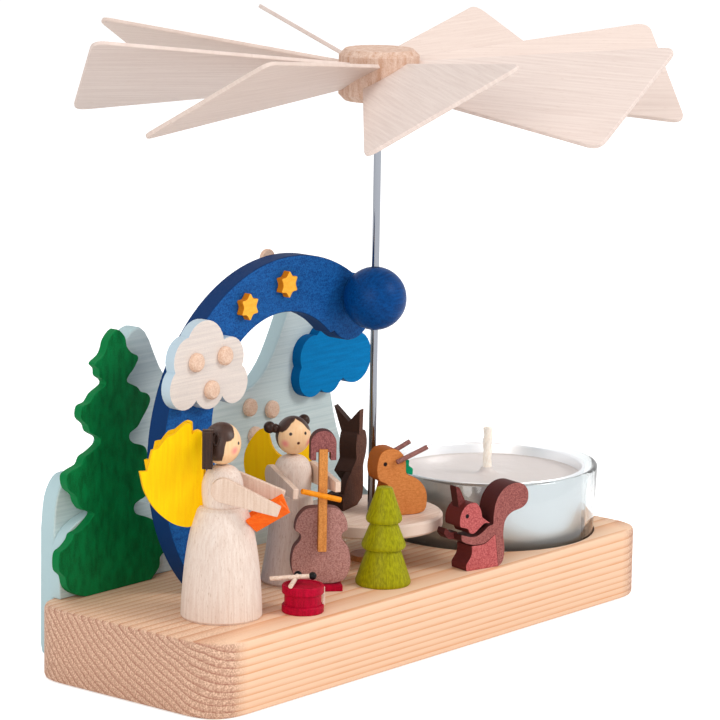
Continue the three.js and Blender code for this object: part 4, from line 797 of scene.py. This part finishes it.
rabbit_brown = wood("dark brown stain on the upright rabbit", 0x6E4636, 0x4A2D23, "Z", 0.4, 1.5, 0.6,
                    0x38231C, upright_back)
upright_move = at((0.29, 1.15, TABLE_TOP - 22.7))
fit(copied("brown_rabbit", 0.12, move=upright_move), rabbit_brown, "brown_rabbit")

# Fan: a turned maple hub pushed on the rod, with eight thin pale blades glued in slanted saw cuts.
# The blades are one shape set round the hub, each cut from a board of its own, so tones differ.
HUB_RADIUS, HUB_HEIGHT, HUB_BOTTOM, HUB_CHAMFER, HUB_BORE = 7.4, 9.4, 99.6, 1.1, 7.4
BLADE_PITCH, BLADE_FIRST, BLADE_COUNT = 29.5, 6, 8
BLADE_ROOT, BLADE_REACH, BLADE_THICKNESS = 5.2, 54.6, 0.8
ROOT_WIDTH, TIP_WIDTH, TIP_CORNER = 9, 31.2, 3
hub_wood = wood("end-grain maple hub", 0xDFC6B6, 0xC49C84, "Z", 0.9, 6, 0.3, dash=0xA8765A)
top, bore_top = HUB_BOTTOM + HUB_HEIGHT, HUB_BOTTOM + HUB_BORE
hub = [(ROD_RADIUS, HUB_BOTTOM), (HUB_RADIUS - HUB_CHAMFER, HUB_BOTTOM),
       (HUB_RADIUS, HUB_BOTTOM + HUB_CHAMFER), (HUB_RADIUS, top - HUB_CHAMFER),
       (HUB_RADIUS - HUB_CHAMFER, top), (0, top), (0, bore_top), (ROD_RADIUS, bore_top),
       (ROD_RADIUS, HUB_BOTTOM)]
fit(turned("rotor_hub", hub), hub_wood, "rotor_hub")

blade_wood, tree = new_material("thin limewood blade")
grain_map = add(tree, "UVMap", uv_map="grain")
tone = add(tree, "Attribute", attribute_name="tone")
spread = add(tree, "Mapping", {"Vector": grain_map.outputs[0], "Scale": (0.06, 1.9, 1)})
moved = add(tree, "VectorMath", {0: spread.outputs[0], 1: (7, 31, 0)}, operation="ADD")
far = add(tree, "VectorMath", {0: tone.outputs["Vector"], "Scale": 90}, operation="SCALE")
own = add(tree, "VectorMath", {0: moved.outputs[0], 1: far.outputs[0]}, operation="ADD")
streak = noise(tree, own.outputs[0], 1, 4)
fleck = noise(tree, grain_map.outputs[0], (0.55, 4.5, 1), 1)
face_colour = blend(tree, remap(tree, streak, 0.32, 0.68), 0xDBCAC2, 0xE6D7CF)
flecked = blend(tree, remap(tree, fleck, 0.64, 0.76, 0, 0.3), face_colour, 0xB99F90)
colour = blend(tree, remap(tree, tone.outputs["Fac"], 0, 1, 0, 0.3), flecked, 0xD9BDA8)
bump = add(tree, "Bump", {"Height": streak, "Strength": 0.3, "Distance": 0.00015})
skin = add(tree, "BsdfPrincipled", {"Base Color": colour, "Roughness": 0.6, "Normal": bump.outputs[0],
                                    "Specular IOR Level": 0.2})
add(tree, "OutputMaterial", {"Surface": skin.outputs[0]})

root, tip = ROOT_WIDTH / 2, TIP_WIDTH / 2
blade_outline = rounded([(BLADE_ROOT, -root), (BLADE_REACH, -tip, TIP_CORNER),
                         (BLADE_REACH, tip, TIP_CORNER), (BLADE_ROOT, root)], 8)
shape = slab(blade_outline, BLADE_THICKNESS, BLADE_THICKNESS / 2)
grain_layer = shape.loops.layers.uv.new("grain")
for face in shape.faces:
    for corner in face.loops:
        corner[grain_layer].uv = (corner.vert.co.x / MM, corner.vert.co.z / MM)
bmesh.ops.transform(shape, matrix=Matrix.Rotation(math.radians(-90), 4, "X"), verts=shape.verts)
blades = finished("fan_blades", shape, 0)

group = bpy.data.node_groups.new("blades round the hub", "GeometryNodeTree")
group.interface.new_socket("Blade", in_out="INPUT", socket_type="NodeSocketGeometry")
sockets = {}
for name, kind in (("Count", "Int"), ("Pitch", "Float"), ("First angle", "Float"), ("Height", "Float"),
                   ("Wood", "Material"), ("Seed", "Int")):
    socket = group.interface.new_socket(name, in_out="INPUT", socket_type="NodeSocket" + kind)
    sockets[name] = socket.identifier
group.interface.new_socket("Fan", in_out="OUTPUT", socket_type="NodeSocketGeometry")
given = add(group, "NodeGroupInput")
points = add(group, "GeometryNodePoints", {"Count": given.outputs["Count"]})
number = add(group, "GeometryNodeInputIndex")
step = add(group, "Math", {0: 2 * math.pi, 1: given.outputs["Count"]}, operation="DIVIDE")
swing = add(group, "Math", {0: number.outputs[0], 1: step.outputs[0], 2: given.outputs["First angle"]},
            operation="MULTIPLY_ADD")
angles = add(group, "CombineXYZ", {"X": given.outputs["Pitch"], "Z": swing.outputs[0]})
around = add(group, "GeometryNodeInstanceOnPoints", {
    "Points": points.outputs[0], "Instance": given.outputs["Blade"], "Rotation": angles.outputs[0]})
tone = add(group, "FunctionNodeRandomValue", {"Seed": given.outputs["Seed"], "ID": number.outputs[0]},
           data_type="FLOAT")
toned = add(group, "GeometryNodeStoreNamedAttribute", {
    "Geometry": around.outputs[0], "Name": "tone", "Value": tone.outputs[1]},
    domain="INSTANCE", data_type="FLOAT")
solid = add(group, "GeometryNodeRealizeInstances", {"Geometry": toned.outputs[0]})
lift = add(group, "CombineXYZ", {"Z": given.outputs["Height"]})
lifted = add(group, "GeometryNodeTransform", {"Geometry": solid.outputs[0], "Translation": lift.outputs[0]})
painted = add(group, "GeometryNodeSetMaterial",
              {"Geometry": lifted.outputs[0], "Material": given.outputs["Wood"]})
add(group, "NodeGroupOutput", {"Fan": painted.outputs[0]})
ring_of_blades = blades.modifiers.new("ring of blades", "NODES")
ring_of_blades.node_group = group
settings = {"Count": BLADE_COUNT, "Pitch": math.radians(BLADE_PITCH),
            "First angle": math.radians(BLADE_FIRST), "Height": (HUB_BOTTOM + HUB_HEIGHT / 2) * MM,
            "Wood": blade_wood, "Seed": 4}
for name, value in settings.items():
    ring_of_blades[sockets[name]] = value
bpy.context.view_layer.update()
ready = blades.evaluated_get(bpy.context.evaluated_depsgraph_get())
blades.data = bpy.data.meshes.new_from_object(ready)
blades.modifiers.clear()
eased = blades.modifiers.new("eased edges", "BEVEL")
eased.width = 0.2 * MM
eased.segments = 2
eased.limit_method = "ANGLE"
eased.harden_normals = True
fit(blades, blade_wood, *(f"blade_{number + 1}" for number in range(BLADE_COUNT)))
